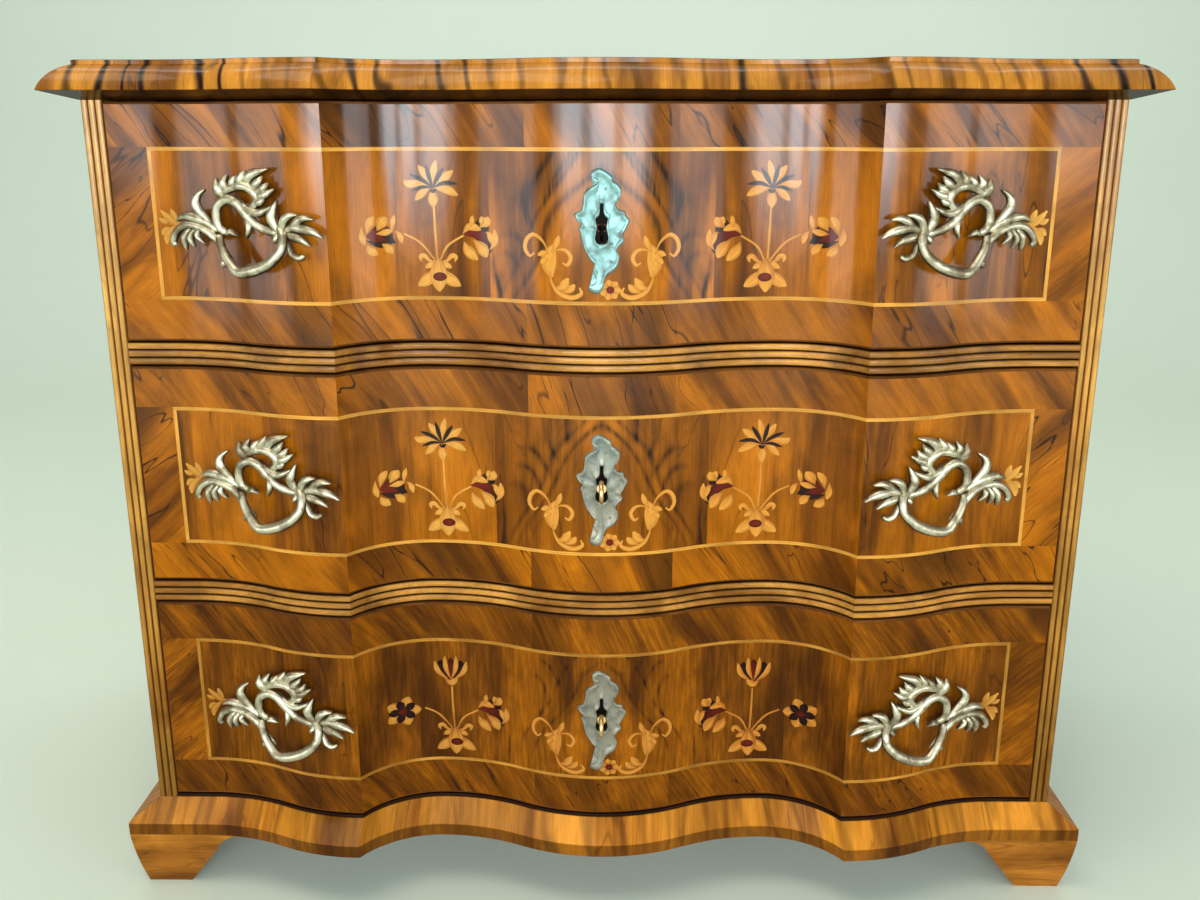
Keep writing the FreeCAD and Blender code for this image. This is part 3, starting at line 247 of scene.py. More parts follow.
class Nodes:
    """Short calls for adding and linking nodes in one tree."""

    def __init__(self, tree):
        self.tree = tree

    def add(self, kind, **settings):
        node = self.tree.nodes.new(kind)
        for name, value in settings.items():
            setattr(node, name, value)
        return node

    def link(self, start, end):
        self.tree.links.new(start, end)

    def put(self, socket, value):
        if isinstance(value, bpy.types.NodeSocket):
            self.link(value, socket)
        else:
            socket.default_value = value

    def math(self, operation, first, second=0.0, third=0.0, clamp=False):
        node = self.add("ShaderNodeMath", operation=operation, use_clamp=clamp)
        for socket, value in zip(node.inputs, (first, second, third)):
            self.put(socket, value)
        return node.outputs[0]

    def mix(self, share, first, second, blend="MIX"):
        node = self.add("ShaderNodeMix", data_type="RGBA", blend_type=blend)
        self.put(node.inputs["Factor"], share)
        self.put(node.inputs["A"], first)
        self.put(node.inputs["B"], second)
        return node.outputs["Result"]

    def stretch(self, vector, scale, shift=(0, 0, 0), turn=(0, 0, 0)):
        node = self.add("ShaderNodeMapping")
        self.link(vector, node.inputs["Vector"])
        node.inputs["Scale"].default_value = scale
        node.inputs["Location"].default_value = shift
        node.inputs["Rotation"].default_value = turn
        return node.outputs["Vector"]

    def noise(self, vector, scale, detail=3.0, roughness=0.55, distortion=0.0):
        node = self.add("ShaderNodeTexNoise")
        self.link(vector, node.inputs["Vector"])
        node.inputs["Scale"].default_value = scale
        node.inputs["Detail"].default_value = detail
        node.inputs["Roughness"].default_value = roughness
        node.inputs["Distortion"].default_value = distortion
        return node.outputs["Fac"]

    def ramp(self, value, stops):
        """Smooth step: stops are two values and what they become."""
        node = self.add("ShaderNodeMapRange", interpolation_type="SMOOTHSTEP")
        self.put(node.inputs["Value"], value)
        for name, number in zip(("From Min", "From Max", "To Min", "To Max"), stops):
            node.inputs[name].default_value = number
        return node.outputs["Result"]

    def split(self, vector):
        """X, Y and Z of a vector."""
        node = self.add("ShaderNodeSeparateXYZ")
        self.link(vector, node.inputs[0])
        return node.outputs

    def place(self):
        """Position on the object."""
        return self.add("ShaderNodeTexCoord").outputs["Object"]

    def dim(self, colour, tone, powers=(1.0, 1.0, 1.0)):
        """Multiplies red, green and blue by a tone, each to its own power."""
        tint = self.add("ShaderNodeCombineColor")
        for socket, power in zip(tint.inputs, powers):
            self.link(tone if power == 1.0 else self.math("POWER", tone, power), socket)
        return self.mix(1.0, colour, tint.outputs[0], "MULTIPLY")

    def relief(self, height, strength, surface):
        """A shallow bump on the surface."""
        node = self.add("ShaderNodeBump")
        node.inputs["Strength"].default_value = strength
        node.inputs["Distance"].default_value = RELIEF_DEPTH
        self.link(height, node.inputs["Height"])
        self.link(node.outputs["Normal"], surface.inputs["Normal"])

    def shade(self):
        """Darkness stored on the piece."""
        return self.add("ShaderNodeAttribute", attribute_name="shade").outputs["Fac"]


def wood_group():
    """Figure of sliced wood with the grain along X of the given vector.

    Slow and straight noise along the grain sets the ground between light and mid, and a mottle makes it
    uneven in brightness.  The slow noise's contour lines, where a broad noise allows them, are the dark
    streaks.  Bars lie where the fraction of 34 * across + 5 * along + drift is near a half.  Fine noise
    gives fibres and pores.
    """
    name = "wood_figure"
    if name in bpy.data.node_groups:
        return bpy.data.node_groups[name]
    tree = bpy.data.node_groups.new(name, "ShaderNodeTree")
    for label, kind in (
        ("Vector", "NodeSocketVector"), ("Light", "NodeSocketColor"), ("Mid", "NodeSocketColor"),
        ("Dark", "NodeSocketColor"), ("Streaks", "NodeSocketFloat"), ("Bars", "NodeSocketFloat"),
        ("Shade", "NodeSocketFloat"), ("Mottle", "NodeSocketFloat"),
    ):
        tree.interface.new_socket(label, in_out="INPUT", socket_type=kind)
    for label, kind in (("Color", "NodeSocketColor"), ("Height", "NodeSocketFloat")):
        tree.interface.new_socket(label, in_out="OUTPUT", socket_type=kind)
    n = Nodes(tree)
    given = n.add("NodeGroupInput").outputs
    result = n.add("NodeGroupOutput").inputs
    slow = n.noise(n.stretch(given["Vector"], (3.0, 17.0, 17.0)), 1.0, 3.0, 0.55, 0.8)
    broad = n.noise(n.stretch(given["Vector"], (2.2, 7.0, 7.0), (3.1, 1.7, 0.4)), 1.0, 2.0)
    straight = n.noise(n.stretch(given["Vector"], (2.5, 75.0, 75.0), (1.9, 0.3, 4.4)), 1.0, 3.0, 0.6)
    share = n.math("ADD", n.math("MULTIPLY", slow, 0.74), n.math("MULTIPLY", straight, 0.26))
    ground = n.mix(n.ramp(share, (0.34, 0.64, 0.0, 1.0)), given["Mid"], given["Light"])
    contour = n.math("ABSOLUTE", n.math("SINE", n.math("MULTIPLY", slow, 26.0)))
    line = n.ramp(contour, (0.0, 0.26, 1.0, 0.0))
    allow = n.ramp(broad, (0.38, 0.56, 0.0, 1.0))
    cloud = n.ramp(broad, (0.50, 0.72, 0.0, 0.85))
    streak = n.math("MAXIMUM", n.math("MULTIPLY", line, allow), cloud)
    streak = n.math("MULTIPLY", streak, given["Streaks"], clamp=True)
    grain = n.split(given["Vector"])
    drift = n.noise(n.stretch(given["Vector"], (5.0, 11.0, 11.0), (0.7, 5.2, 2.3)), 1.0, 2.0)
    beat = n.math("MULTIPLY_ADD", grain["Y"], 34.0, n.math("MULTIPLY", drift, 3.2))
    beat = n.math("FRACT", n.math("MULTIPLY_ADD", grain["X"], 5.0, beat))
    bar = n.ramp(n.math("ABSOLUTE", n.math("SUBTRACT", beat, 0.5)), (0.03, 0.20, 1.0, 0.0))
    bar = n.math("MULTIPLY", n.math("MULTIPLY", bar, n.ramp(broad, (0.36, 0.52, 0.5, 1.0))), given["Bars"])
    streak = n.math("MAXIMUM", streak, bar)
    fibre = n.noise(n.stretch(given["Vector"], (22.0, 700.0, 700.0)), 1.0, 2.0, 0.7)
    torn = n.noise(n.stretch(given["Vector"], (26.0, 240.0, 240.0)), 1.0, 4.0, 0.6)
    shade = n.math("MULTIPLY", given["Shade"], n.ramp(torn, (0.25, 0.65, 0.55, 1.15)), clamp=True)
    dark = n.math("MAXIMUM", streak, shade)
    colour = n.mix(dark, ground, given["Dark"])
    mottle = n.noise(n.stretch(given["Vector"], (11.0, 19.0, 19.0), (2.6, 0.9, 3.3)), 1.0, 4.0, 0.6, 0.6)
    uneven = n.math("MULTIPLY_ADD", n.ramp(mottle, (0.32, 0.68, -0.28, 0.2)), given["Mottle"], 1.0)
    tone = n.math("MULTIPLY", n.ramp(fibre, (0.2, 0.8, 0.8, 1.12)), uneven)
    colour = n.dim(colour, tone)
    pores = n.noise(n.stretch(given["Vector"], (55.0, 1500.0, 1500.0)), 1.0, 1.0)
    pore = n.ramp(pores, (0.62, 0.72, 0.0, 1.0))
    colour = n.mix(n.math("MULTIPLY", pore, 0.35), colour, given["Dark"])
    n.link(colour, result["Color"])
    n.link(n.math("SUBTRACT", n.math("MULTIPLY", fibre, 0.3), pore), result["Height"])
    return tree


def new_material(name):
    """An empty material, its nodes and its surface."""
    material = bpy.data.materials.new(name)
    material.use_nodes = True
    nodes = Nodes(material.node_tree)
    surface = material.node_tree.nodes["Principled BSDF"]
    return material, nodes, surface


def edge_vector(n):
    """Grain position for a moulding round the front and sides: up it, then along it.

    Along is x on the front and y on the sides; the two meet where |x| - body half = front - y.
    """
    place = n.split(n.place())
    beside = n.math("SUBTRACT", n.math("ABSOLUTE", place["X"]), BODY_HALF)
    before = n.math("SUBTRACT", FRONT_Y, place["Y"])
    side = n.math("GREATER_THAN", beside, before)
    along = n.add("ShaderNodeMix", data_type="FLOAT")
    n.put(along.inputs["Factor"], side)
    n.put(along.inputs["A"], place["X"])
    n.put(along.inputs["B"], n.math("ADD", place["Y"], SIDE_GRAIN_SHIFT))
    vector = n.add("ShaderNodeCombineXYZ")
    n.link(place["Z"], vector.inputs["X"])
    n.link(along.outputs["Result"], vector.inputs["Y"])
    return vector.outputs["Vector"]


def wood_material(
    name, light, mid, dark, streaks, turn=None, roughness=0.4, coat=0.7, bump=0.12, bars=0.0, mottle=1.0,
    low_coat=0.05,
):
    """Varnished wood, duller low down, where the share low_coat of the coat is left.

    With turn the grain follows the object's X after that rotation, with "edge" it stands upright round the
    outside of the chest, and otherwise it follows the veneer map.
    """
    material, n, surface = new_material(name)
    if turn is None:
        vector = n.add("ShaderNodeUVMap", uv_map="veneer").outputs["UV"]
    elif turn == "edge":
        vector = edge_vector(n)
    else:
        vector = n.stretch(n.place(), (1, 1, 1), turn=turn)
    figure = n.add("ShaderNodeGroup", node_tree=wood_group())
    n.link(vector, figure.inputs["Vector"])
    for label, colour in (("Light", light), ("Mid", mid), ("Dark", dark)):
        figure.inputs[label].default_value = colour
    figure.inputs["Streaks"].default_value = streaks
    figure.inputs["Bars"].default_value = bars
    figure.inputs["Mottle"].default_value = mottle
    n.link(n.shade(), figure.inputs["Shade"])
    n.link(figure.outputs["Color"], surface.inputs["Base Color"])
    n.relief(figure.outputs["Height"], bump, surface)
    height = n.split(n.place())["Z"]
    n.link(n.ramp(height, (*COAT_HEIGHTS, low_coat * coat, coat)), surface.inputs["Coat Weight"])
    surface.inputs["Roughness"].default_value = roughness
    surface.inputs["Coat Roughness"].default_value = COAT_ROUGHNESS
    surface.inputs["Specular IOR Level"].default_value = WOOD_SHINE
    return material


def make_woods(finish):
    """Every wood of the chest from the colours in the panel."""
    walnut = finish.walnut_light, finish.walnut_mid, finish.walnut_dark
    walnut = [(*tone, 1.0) for tone in walnut]
    maple = (*finish.maple, 1.0)
    for name, streaks in (("band", 0.95), ("flank", 0.8), ("field", 0.6)):
        WOODS[name] = wood_material(f"{name}_veneer", *walnut, streaks)
    for name, streaks in (("top_field", 0.5), ("top_band", 0.8)):
        WOODS[name] = wood_material(name, *walnut, streaks, coat=0.22)
    # Near-black sheets under the keyhole plates: painted shade in the apertures.
    WOODS["aperture_shade"] = wood_material(
        "keyhole_painted_shade", linear(20, 12, 8), linear(15, 9, 6), linear(8, 5, 4), 0.2, coat=0.0
    )
    WOODS["string"] = wood_material("maple_string", maple, maple, walnut[1], 0.1)
    WOODS["body"] = wood_material("body_walnut", *walnut, 0.5, UPRIGHT)
    WOODS["lengthwise"] = wood_material(
        "lengthwise_walnut", linear(112, 66, 26), linear(78, 44, 16), walnut[2], 0.5, LENGTHWISE, coat=0.0
    )
    WOODS["foot"] = wood_material(
        "foot_walnut", linear(178, 112, 38), linear(118, 68, 20), linear(58, 32, 14), 0.5, LENGTHWISE
    )
    WOODS["bead"] = wood_material(
        "dark_bead", walnut[2], walnut[2], linear(30, 16, 8), 0.2, LENGTHWISE
    )
    pine = linear(196, 156, 104), linear(176, 132, 82), linear(120, 80, 44), 0.5
    raw = {"roughness": 0.6, "coat": 0.0, "bump": 0.3, "mottle": 0.2}
    WOODS["pine"] = wood_material("pine", *pine, BACKWARD, **raw)
    WOODS["pine_across"] = wood_material("pine_across", *pine, LENGTHWISE, **raw)
    WOODS["planks"] = wood_material("back_planks", *pine, LENGTHWISE, **raw)
    low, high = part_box("back_boards")
    part_planks(WOODS["planks"], low[2], (high[2] - low[2]) / BACK_PLANKS)


def part_planks(material, start, pitch):
    """Parts boards into planks: a dark joint every pitch from the height start, and a tone for each plank."""
    n = Nodes(material.node_tree)
    base = material.node_tree.nodes["Principled BSDF"].inputs["Base Color"]
    colour = base.links[0].from_socket
    height = n.split(n.place())["Z"]
    steps = n.math("DIVIDE", n.math("SUBTRACT", height, start), pitch)
    tone = n.math("MULTIPLY_ADD", n.math("SINE", n.math("MULTIPLY", n.math("FLOOR", steps), 2.1)), 0.1, 0.94)
    colour = n.dim(colour, tone)
    away = n.math("ABSOLUTE", n.math("SUBTRACT", n.math("FRACT", steps), 0.5))
    n.link(n.mix(n.ramp(away, (0.4925, 0.4965, 0.0, 0.9)), colour, linear(30, 18, 10)), base)


def darken_low(material, low, high, share):
    """Multiplies the colour by a share at the height low, by one at high and smoothly between them.

    Green takes the share to the power 1.12 and blue to the power 1.5, so the dark end is browner.
    """
    n = Nodes(material.node_tree)
    base = material.node_tree.nodes["Principled BSDF"].inputs["Base Color"]
    colour = base.links[0].from_socket
    tone = n.ramp(n.split(n.place())["Z"], (low, high, share, 1.0))
    n.link(n.dim(colour, tone, (1.0, 1.12, 1.5)), base)


def crossband_material(name, light, mid, dark, streaks, bars, shadow, share):
    """Short grain that stands upright round a moulding, with dark bars; under the height shadow the colour
    falls to the share given, which on the top is painted shade under its edge.
    """
    material = wood_material(name, light, mid, dark, streaks, "edge", coat=0.4, bars=bars, low_coat=0.4)
    darken_low(material, shadow - 0.0012, shadow + 0.0004, share)
    return material


def reeded_material(name, light, mid, dark, axis, start, pitch, behind=None):
    """Pale reeds with old varnish and painted shade in the grooves, which lie a pitch apart from start along
    an axis.

    Where behind is given, the wood past that y is plain.
    """
    material = wood_material(name, light, mid, dark, 0.3, LENGTHWISE if axis == "Z" else UPRIGHT)
    n = Nodes(material.node_tree)
    surface = material.node_tree.nodes["Principled BSDF"]
    colour = surface.inputs["Base Color"].links[0].from_socket
    place = n.split(n.place())
    along = n.math("ABSOLUTE", place[axis])
    share = n.math("FRACT", n.math("DIVIDE", n.math("SUBTRACT", along, start), pitch))
    away = n.math("ABSOLUTE", n.math("SUBTRACT", share, 0.5))
    # Grooves darkened: old varnish, and painted shade in the recess.
    groove_varnish_and_shade = n.ramp(away, (0.24, 0.46, 0.0, 0.97))
    if behind is not None:
        before = n.ramp(place["Y"], (behind - REED_FADE, behind, 1.0, 0.0))
        groove_varnish_and_shade = n.math("MULTIPLY", groove_varnish_and_shade, before)
    n.link(n.mix(groove_varnish_and_shade, colour, dark), surface.inputs["Base Color"])
    return material


def metal_material(name, bright, worn, roughness, spread):
    """Old cast metal: bright where it is rubbed, dull in patches, with a fine uneven skin."""
    material, n, surface = new_material(name)
    patches = n.noise(n.place(), 60.0, 4.0, 0.6, 0.3)
    specks = n.noise(n.place(), 900.0, 2.0)
    dull = n.ramp(patches, (0.40, 0.66, 0.0, 1.0))
    uneven = n.math("MULTIPLY", n.math("SUBTRACT", patches, 0.5), 0.5)
    # Patina and painted shade stored on the pulls, made uneven by the patches.
    patina_and_shade = n.ramp(n.math("ADD", n.shade(), uneven), (0.45, 0.95, 0.0, 0.9))
    colour = n.mix(patina_and_shade, n.mix(dull, bright, worn), linear(44, 30, 16))
    n.link(colour, surface.inputs["Base Color"])
    rough = n.ramp(n.math("ADD", patches, n.math("MULTIPLY", specks, 0.25)),
                   (0.35, 0.80, roughness, roughness + spread))
    n.link(rough, surface.inputs["Roughness"])
    n.relief(n.math("ADD", patches, n.math("MULTIPLY", specks, 0.3)), 0.25, surface)
    surface.inputs["Metallic"].default_value = 1.0
    return material


def plate_material():
    """Keyhole plate of whitened brass: cool and bluish high on the chest, warmer low down."""
    material, n, surface = new_material("keyhole_plate")
    height = n.split(n.place())["Z"]
    patches = n.noise(n.place(), 90.0, 4.0, 0.6, 0.3)
    uneven = n.math("ADD", height, n.math("MULTIPLY", n.math("SUBTRACT", patches, 0.5), 0.1))
    upper = n.ramp(uneven, (0.44, 0.74, 0.0, 1.0))
    ground = n.mix(upper, linear(138, 132, 114), linear(122, 160, 154))
    dull = n.ramp(patches, (0.42, 0.70, 0.0, 0.7))
    n.link(n.mix(dull, ground, linear(92, 96, 90)), surface.inputs["Base Color"])
    n.link(n.ramp(patches, (0.3, 0.7, 0.36, 0.52)), surface.inputs["Roughness"])
    surface.inputs["Metallic"].default_value = 0.6
    return material


def paint(node, material):
    """Gives a solid of the frame its finish."""
    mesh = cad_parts[node].data
    mesh.materials.clear()
    mesh.materials.append(material)


# Veneers

# Spacing along the front and rows of points of a plain leaf and of one with its own dark figure.
PLAIN_GRID = (0.006, 13)
FIGURE_GRID = (0.002, 61)
# Leaves of a drawer front, from the middle of the chest and of the drawer, and their leans in degrees.
FRONT_MARGIN = 0.0006
FRONT_RISE = 0.1155
BAND_SEAM = 0.075
BAND_LEANS = (54, 58, 68, 58, 54)
END_LEAN = 42
PAIR_SEAM = 0.112
HOLLOW_SEAM = 0.205
# Strength of the dark cloud beside the arches of each drawer.
ARCH_CLOUD = {"lower": 0.34, "middle": 0.34, "upper": 0.55}
# Patch under the keyhole plate, with the opening for the key; its dark sheets are painted shade seen through
# the plate's aperture.
PATCH_HALF = 0.009
PATCH_TOP = 0.026
PATCH_FOOT = -0.020
PATCH_LIFT = 0.0001
SLOT_HALF = 0.0018


def grain_map(x, z, angle, shift, flip=1.0):
    """Texture position of a veneer: along and across the grain, which rises at an angle."""
    cosine, sine = math.cos(angle), math.sin(angle)
    along = flip * x * cosine + z * sine
    across = z * cosine - flip * x * sine
    return np.stack([along + shift[0], across + shift[1]], axis=-1)


def painted_low_shade(middle):
    """Painted shade at a height, darker towards the bottom of the chest: 0.12 from 0.75 m up, and 0.56 at
    0.22 m.
    """
    return 0.12 + 0.44 * (np.clip(0.75 - middle, 0, 1) / 0.53) ** 2.2


def veneer_sheet(work, x_range, h_range, middle, lift, finish, angle, shift, flip=1.0, shade=None):
    """One leaf on the front: a grid over x and h, bent to the plan line, with painted shade darkest low on
    the chest.
    """
    step, rows = PLAIN_GRID if shade is None else FIGURE_GRID
    count = max(2, int(abs(x_range[1] - x_range[0]) / step) + 1)
    x, h = np.meshgrid(np.linspace(*x_range, count), np.linspace(*h_range, rows), indexing="ij")
    # Painted shade, darker towards the bottom of the chest.
    low_shade = painted_low_shade(middle)
    dark = low_shade if shade is None else np.maximum(low_shade, shade(x, h))
    work.add(on_front(x, middle + h, lift), grain_map(x, h, angle, shift, flip), finish, dark, (0, -1, 0))


def cathedral(phase, cloud):
    """Dark figure of the matched middle pair: pointed arches round the keyhole, curls and cloud beside them.

    The arches are level lines of q = (|x| / 0.062) ** 1.4 + (h + 0.02) / 0.085, made uneven by slow waves.
    """
    def shade(x, h):
        away = np.abs(x)
        wave = 0.07 * np.sin(70 * h + phase) + 0.05 * np.sin(150 * away + 90 * h + 2 * phase)
        q = (away / 0.062) ** 1.4 + (h + 0.02) / 0.085 + wave
        lines = 0.62 * np.exp(-((q - 1.0) / 0.07) ** 2) + 0.45 * np.exp(-((q - 1.32) / 0.06) ** 2)
        lines = lines + 0.35 * np.exp(-((q - 0.72) / 0.06) ** 2)
        curl = np.sin(70 * away - 36 * h + 2.6 * np.sin(42 * h + phase) + 1.2 * np.sin(95 * away + 30 * h))
        smoke = np.exp(-((q - 1.7) / 0.6) ** 2) * (cloud + 0.5 * np.exp(-(curl / 0.55) ** 2))
        low = 1 / (1 + np.exp((h + 0.03) / 0.004))
        thread = 0.75 * np.exp(-((away - 0.105 - 0.03 * wave) / 0.0028) ** 2) * low
        fade = np.clip((0.116 - away) / 0.04, 0, 1)
        return np.clip((lines + smoke) * fade + thread, 0, 0.92)
    return shade


def wavy_streaks(phase):
    """Upright dark streaks of a flank leaf at two places across it, each a wandering line."""
    def shade(x, h):
        away = np.abs(x)
        first = 0.318 + 0.010 * math.sin(phase) + 0.006 * np.sin(38 * h + phase)
        second = 0.408 + 0.010 * math.cos(phase) + 0.005 * np.sin(30 * h + 2 * phase)
        one = 0.55 * np.exp(-((away - first) / 0.009) ** 2)
        two = 0.40 * np.exp(-((away - second) / 0.013) ** 2)
        return np.clip(one + two, 0, 0.9)
    return shade


def veneer_front(level, sizes):
    """All leaves of one drawer front: bands round the edge, string, flanks and the matched middle."""
    middle = drawer_middle(level)
    work = Patchwork()
    phase = 1.7 * LEVELS.index(level) + 0.6
    arches = cathedral(phase, ARCH_CLOUD[level])
    end = FRONT_HALF - FRONT_MARGIN
    upright = math.radians(90)
    string_x, string_h = sizes.string_side, sizes.string_rise
    half = sizes.string_width / 2
    lift = sizes.veneer_thickness
    outer_x, inner_x = string_x + half, string_x - half
    outer_h, inner_h = string_h + half, string_h - half
    leaf_ends = (-end, -ARRIS_X, -BAND_SEAM, BAND_SEAM, ARRIS_X, end)
    for row, (low, high) in enumerate(((outer_h, FRONT_RISE), (-FRONT_RISE, -outer_h))):
        for i, (start, stop) in enumerate(zip(leaf_ends, leaf_ends[1:])):
            shift = (1.3 * i + 4.1 * row + phase, 0.37 * i + 0.2 * phase)
            lean = math.radians(-BAND_LEANS[i])
            veneer_sheet(work, (start, stop), (low, high), middle, lift, 0, lean, shift)
    for _, side in SIDES:
        x_ends = (side * outer_x, side * end)
        shift = (7.0 + side + phase, 1.0)
        veneer_sheet(work, x_ends, (-outer_h, outer_h), middle, lift, 0, math.radians(END_LEAN), shift)
        x_ends = (side * ARRIS_X, side * inner_x)
        shift = (2.0 + phase, 3.0 + side)
        streaks = wavy_streaks(phase + side)
        veneer_sheet(work, x_ends, (-inner_h, inner_h), middle, lift, 1, upright, shift, 1.0, streaks)
        for low, high, step in ((HOLLOW_SEAM, ARRIS_X, 1.0), (PAIR_SEAM, HOLLOW_SEAM, 2.0)):
            shift = (3.0 + step + phase, 5.0 * step)
            x_ends = (side * low, side * high)
            veneer_sheet(work, x_ends, (-inner_h, inner_h), middle, lift, 2, upright, shift, side)
        shift = (9.0 + phase, 2.0)
        for h_ends in ((PATCH_TOP, inner_h), (-inner_h, PATCH_FOOT)):
            x_ends = (0, side * PATCH_HALF)
            veneer_sheet(work, x_ends, h_ends, middle, lift, 2, upright, shift, side, arches)
        # Dark sheets round the keyhole under the plate: painted shade seen through its aperture.
        for x_ends, h_ends in (
            ((side * KEY_HOLE, side * PATCH_HALF), (PATCH_FOOT, PATCH_TOP)),
            ((0, side * KEY_HOLE), (KEY_HOLE, PATCH_TOP)),
            ((0, side * KEY_HOLE), (PATCH_FOOT, -KEY_SLOT)),
            ((side * SLOT_HALF, side * KEY_HOLE), (-KEY_SLOT, -KEY_HOLE)),
        ):
            veneer_sheet(work, x_ends, h_ends, middle, PATCH_LIFT, 4, upright, shift)
        x_ends = (side * PATCH_HALF, side * PAIR_SEAM)
        veneer_sheet(work, x_ends, (-inner_h, inner_h), middle, lift, 2, upright, shift, side, arches)
        veneer_sheet(work, (side * inner_x, side * outer_x), (-inner_h, inner_h), middle, lift, 3, upright,
                     (side, phase))
    for sign in (-1, 1):
        h_ends = (sign * inner_h, sign * outer_h)
        for x_ends in ((-outer_x, -ARRIS_X), (-ARRIS_X, ARRIS_X), (ARRIS_X, outer_x)):
            veneer_sheet(work, x_ends, h_ends, middle, lift, 3, 0.0, (phase, sign))
    finishes = [WOODS[name] for name in ("band", "flank", "field", "string", "aperture_shade")]
    return work.build(f"{level}_front_veneers", f"{level}_drawer", finishes)


# Inlay

# The flowers are a little wider than high against the sizes listed below.
INLAY_STRETCH = np.array([1.06, 1.0])
SPRAY_X = 0.167
SPRIG_X = 0.428
SCROLL_SQUEEZE = 0.86
# Scorching of the edges, and how much of the painted shade low on the chest the flowers take.
INLAY_SCORCH = 0.25
INLAY_LOW_SHADE = 0.7
# Lifts that keep thin sheets apart: inlay over veneer, flower over stem, petal over petal, berry over all.
INLAY_LIFT = 1e-4
FLOWER_LIFT = 2e-5
PETAL_LIFT = 1.2e-5
BERRY_LIFT = 1.6e-4


def inlay_leaf(
    work, points, width, middle, finish, lift, side=1.0, origin=0.0, shade=(0.65, 0.0), point=0.0
):
    """A leaf or petal: a smooth path, widest two thirds along, bent to the front.

    Half width at share t is width / 2 * sin(pi * t ** 1.3) ** 0.7, never less than point.  Points are in
    millimetres from the spray's stem and the middle of the drawer.  shade runs from base to tip.
    """
    path = smooth_path(np.asarray(points, dtype=float) * INLAY_STRETCH / 1000, 17)
    tangent = np.gradient(path, axis=0)
    tangent /= np.linalg.norm(tangent, axis=1, keepdims=True)
    normal = np.stack([-tangent[:, 1], tangent[:, 0]], axis=1)
    t = np.linspace(0, 1, len(path))
    half = width / 2000 * np.maximum(np.sin(np.pi * t ** 1.3) ** 0.7, point)
    across = np.linspace(-1, 1, 5)
    flat = path[:, None, :] + normal[:, None, :] * (half[:, None] * across)[:, :, None]
    x = side * flat[..., 0] + origin
    # Real scorching at the edges, plus painted shade low on the chest.
    scorch_and_shade = INLAY_SCORCH * across ** 4 + INLAY_LOW_SHADE * painted_low_shade(middle)
    dark = np.linspace(*shade, len(path))[:, None] + scorch_and_shade
    run = np.stack(np.broadcast_arrays(t[:, None] * 0.03 + origin, across * width / 2000), axis=-1)
    work.add(on_front(x, middle + flat[..., 1], lift), run, finish, dark, (0, -1, 0))


def inlay_disc(work, centre, radii, middle, finish, lift, side=1.0, origin=0.0):
    """An oval spot, shaded towards its edge."""
    share, angle = np.meshgrid(np.linspace(0.02, 1, 6), np.linspace(0, 2 * np.pi, 33)[:-1], indexing="ij")
    reach = share / 1000
    x = side * (INLAY_STRETCH[0] * centre[0] / 1000 + radii[0] * reach * np.cos(angle)) + origin
    h = centre[1] / 1000 + radii[1] * reach * np.sin(angle)
    run = np.stack([x, h], axis=-1)
    # Shading towards the edge, plus painted shade low on the chest.
    dark = 0.55 * share ** 3 + INLAY_LOW_SHADE * painted_low_shade(middle)
    work.add(on_front(x, middle + h, lift), run, finish, dark, (0, -1, 0), closed=True)


def inlay_petals(work, centre, petals, middle, lift, side, origin):
    """Petals of one flower: each (finish, width, path from the flower's centre in millimetres)."""
    centre = np.array(centre, dtype=float)
    for order, (finish, width, path) in enumerate(petals):
        points = [centre + np.array(point, dtype=float) for point in path]
        shade = (0.55, 0.0) if finish == 0 else (0.1, 0.4)
        height = lift + PETAL_LIFT * order
        inlay_leaf(work, points, width, middle, finish, height, side, origin, shade, 0.12)


def ray(angle, *reaches):
    """Points at those distances from the middle of a flower, in a direction given in degrees."""
    angle = math.radians(angle)
    return [(reach * math.cos(angle), reach * math.sin(angle)) for reach in reaches]


# Flowers: finish (0 boxwood, 1 dark, 2 red), width and path of every petal, in millimetres.
CARNATION = [
    (0, 8, [(-1, 0), (-12, 3), (-22, 3), (-27, 6)]), (0, 8, [(-1, 2), (-6, 11), (-13, 21)]),
    (0, 7, [(0, 3), (1, 14), (4, 26)]), (0, 9.5, [(1, 1), (9, 7), (20, 16)]),
    (0, 9, [(1, -1), (12, -2), (24, -8)]), (0, 8, [(-2, -1), (-9, -5), (-17, -13)]),
    (0, 10, [(0, -1), (0, -10), (0, -20)]),
    (1, 4.2, [(0, -1), (-10, 7), (-21, 12)]), (1, 4.6, [(0, -1), (-3, 10), (-6, 22)]),
    (1, 4.6, [(0, -1), (5, 9), (11, 19)]), (1, 4.2, [(0, -1), (11, 4), (24, 3)]),
    (1, 3.6, [(0, -1), (-9, 0), (-20, -4)]), (1, 4, [(-3, -2), (0, -4), (4, -2)]),
]
TULIP = [
    (1, 11, [(0, -12), (-9, 0), (-11, 12)]), (1, 11, [(0, -12), (9, 0), (11, 12)]),
    (2, 9, [(0, -12), (0, 2), (0, 15)]),
    (0, 6, [(-1, -13), (-13, -2), (-17, 11)]), (0, 6, [(1, -13), (13, -2), (17, 11)]),
    (0, 5.5, [(0, -12), (-5, 2), (-6, 17)]), (0, 5.5, [(0, -12), (5, 2), (6, 17)]),
    (0, 8, [(-7, -10), (0, -15), (7, -10)]),
]
POPPY = [
    (2, 24, [(-11, 0), (0, 0), (12, 0)]), (1, 7, [(-4, 9), (4, 2), (14, -8)]),
    (1, 6, [(-12, -4), (0, -9), (12, -7)]),
    (0, 6, [(-15, 10), (-15, 0), (-13, -9)]), (0, 8, [(-11, 2), (-9, 12), (-4, 19)]),
    (0, 11, [(-2, 5), (2, 12), (7, 18)]), (0, 5, [(11, 4), (12, 12), (14, 20)]),
    (0, 6, [(14, 5), (18, 0), (20, -8)]), (0, 6.5, [(-3, 2), (4, 3), (12, 5)]),
    (0, 9, [(-11, -8), (-8, -14), (-2, -19)]), (0, 9, [(2, -8), (7, -12), (11, -18)]),
]
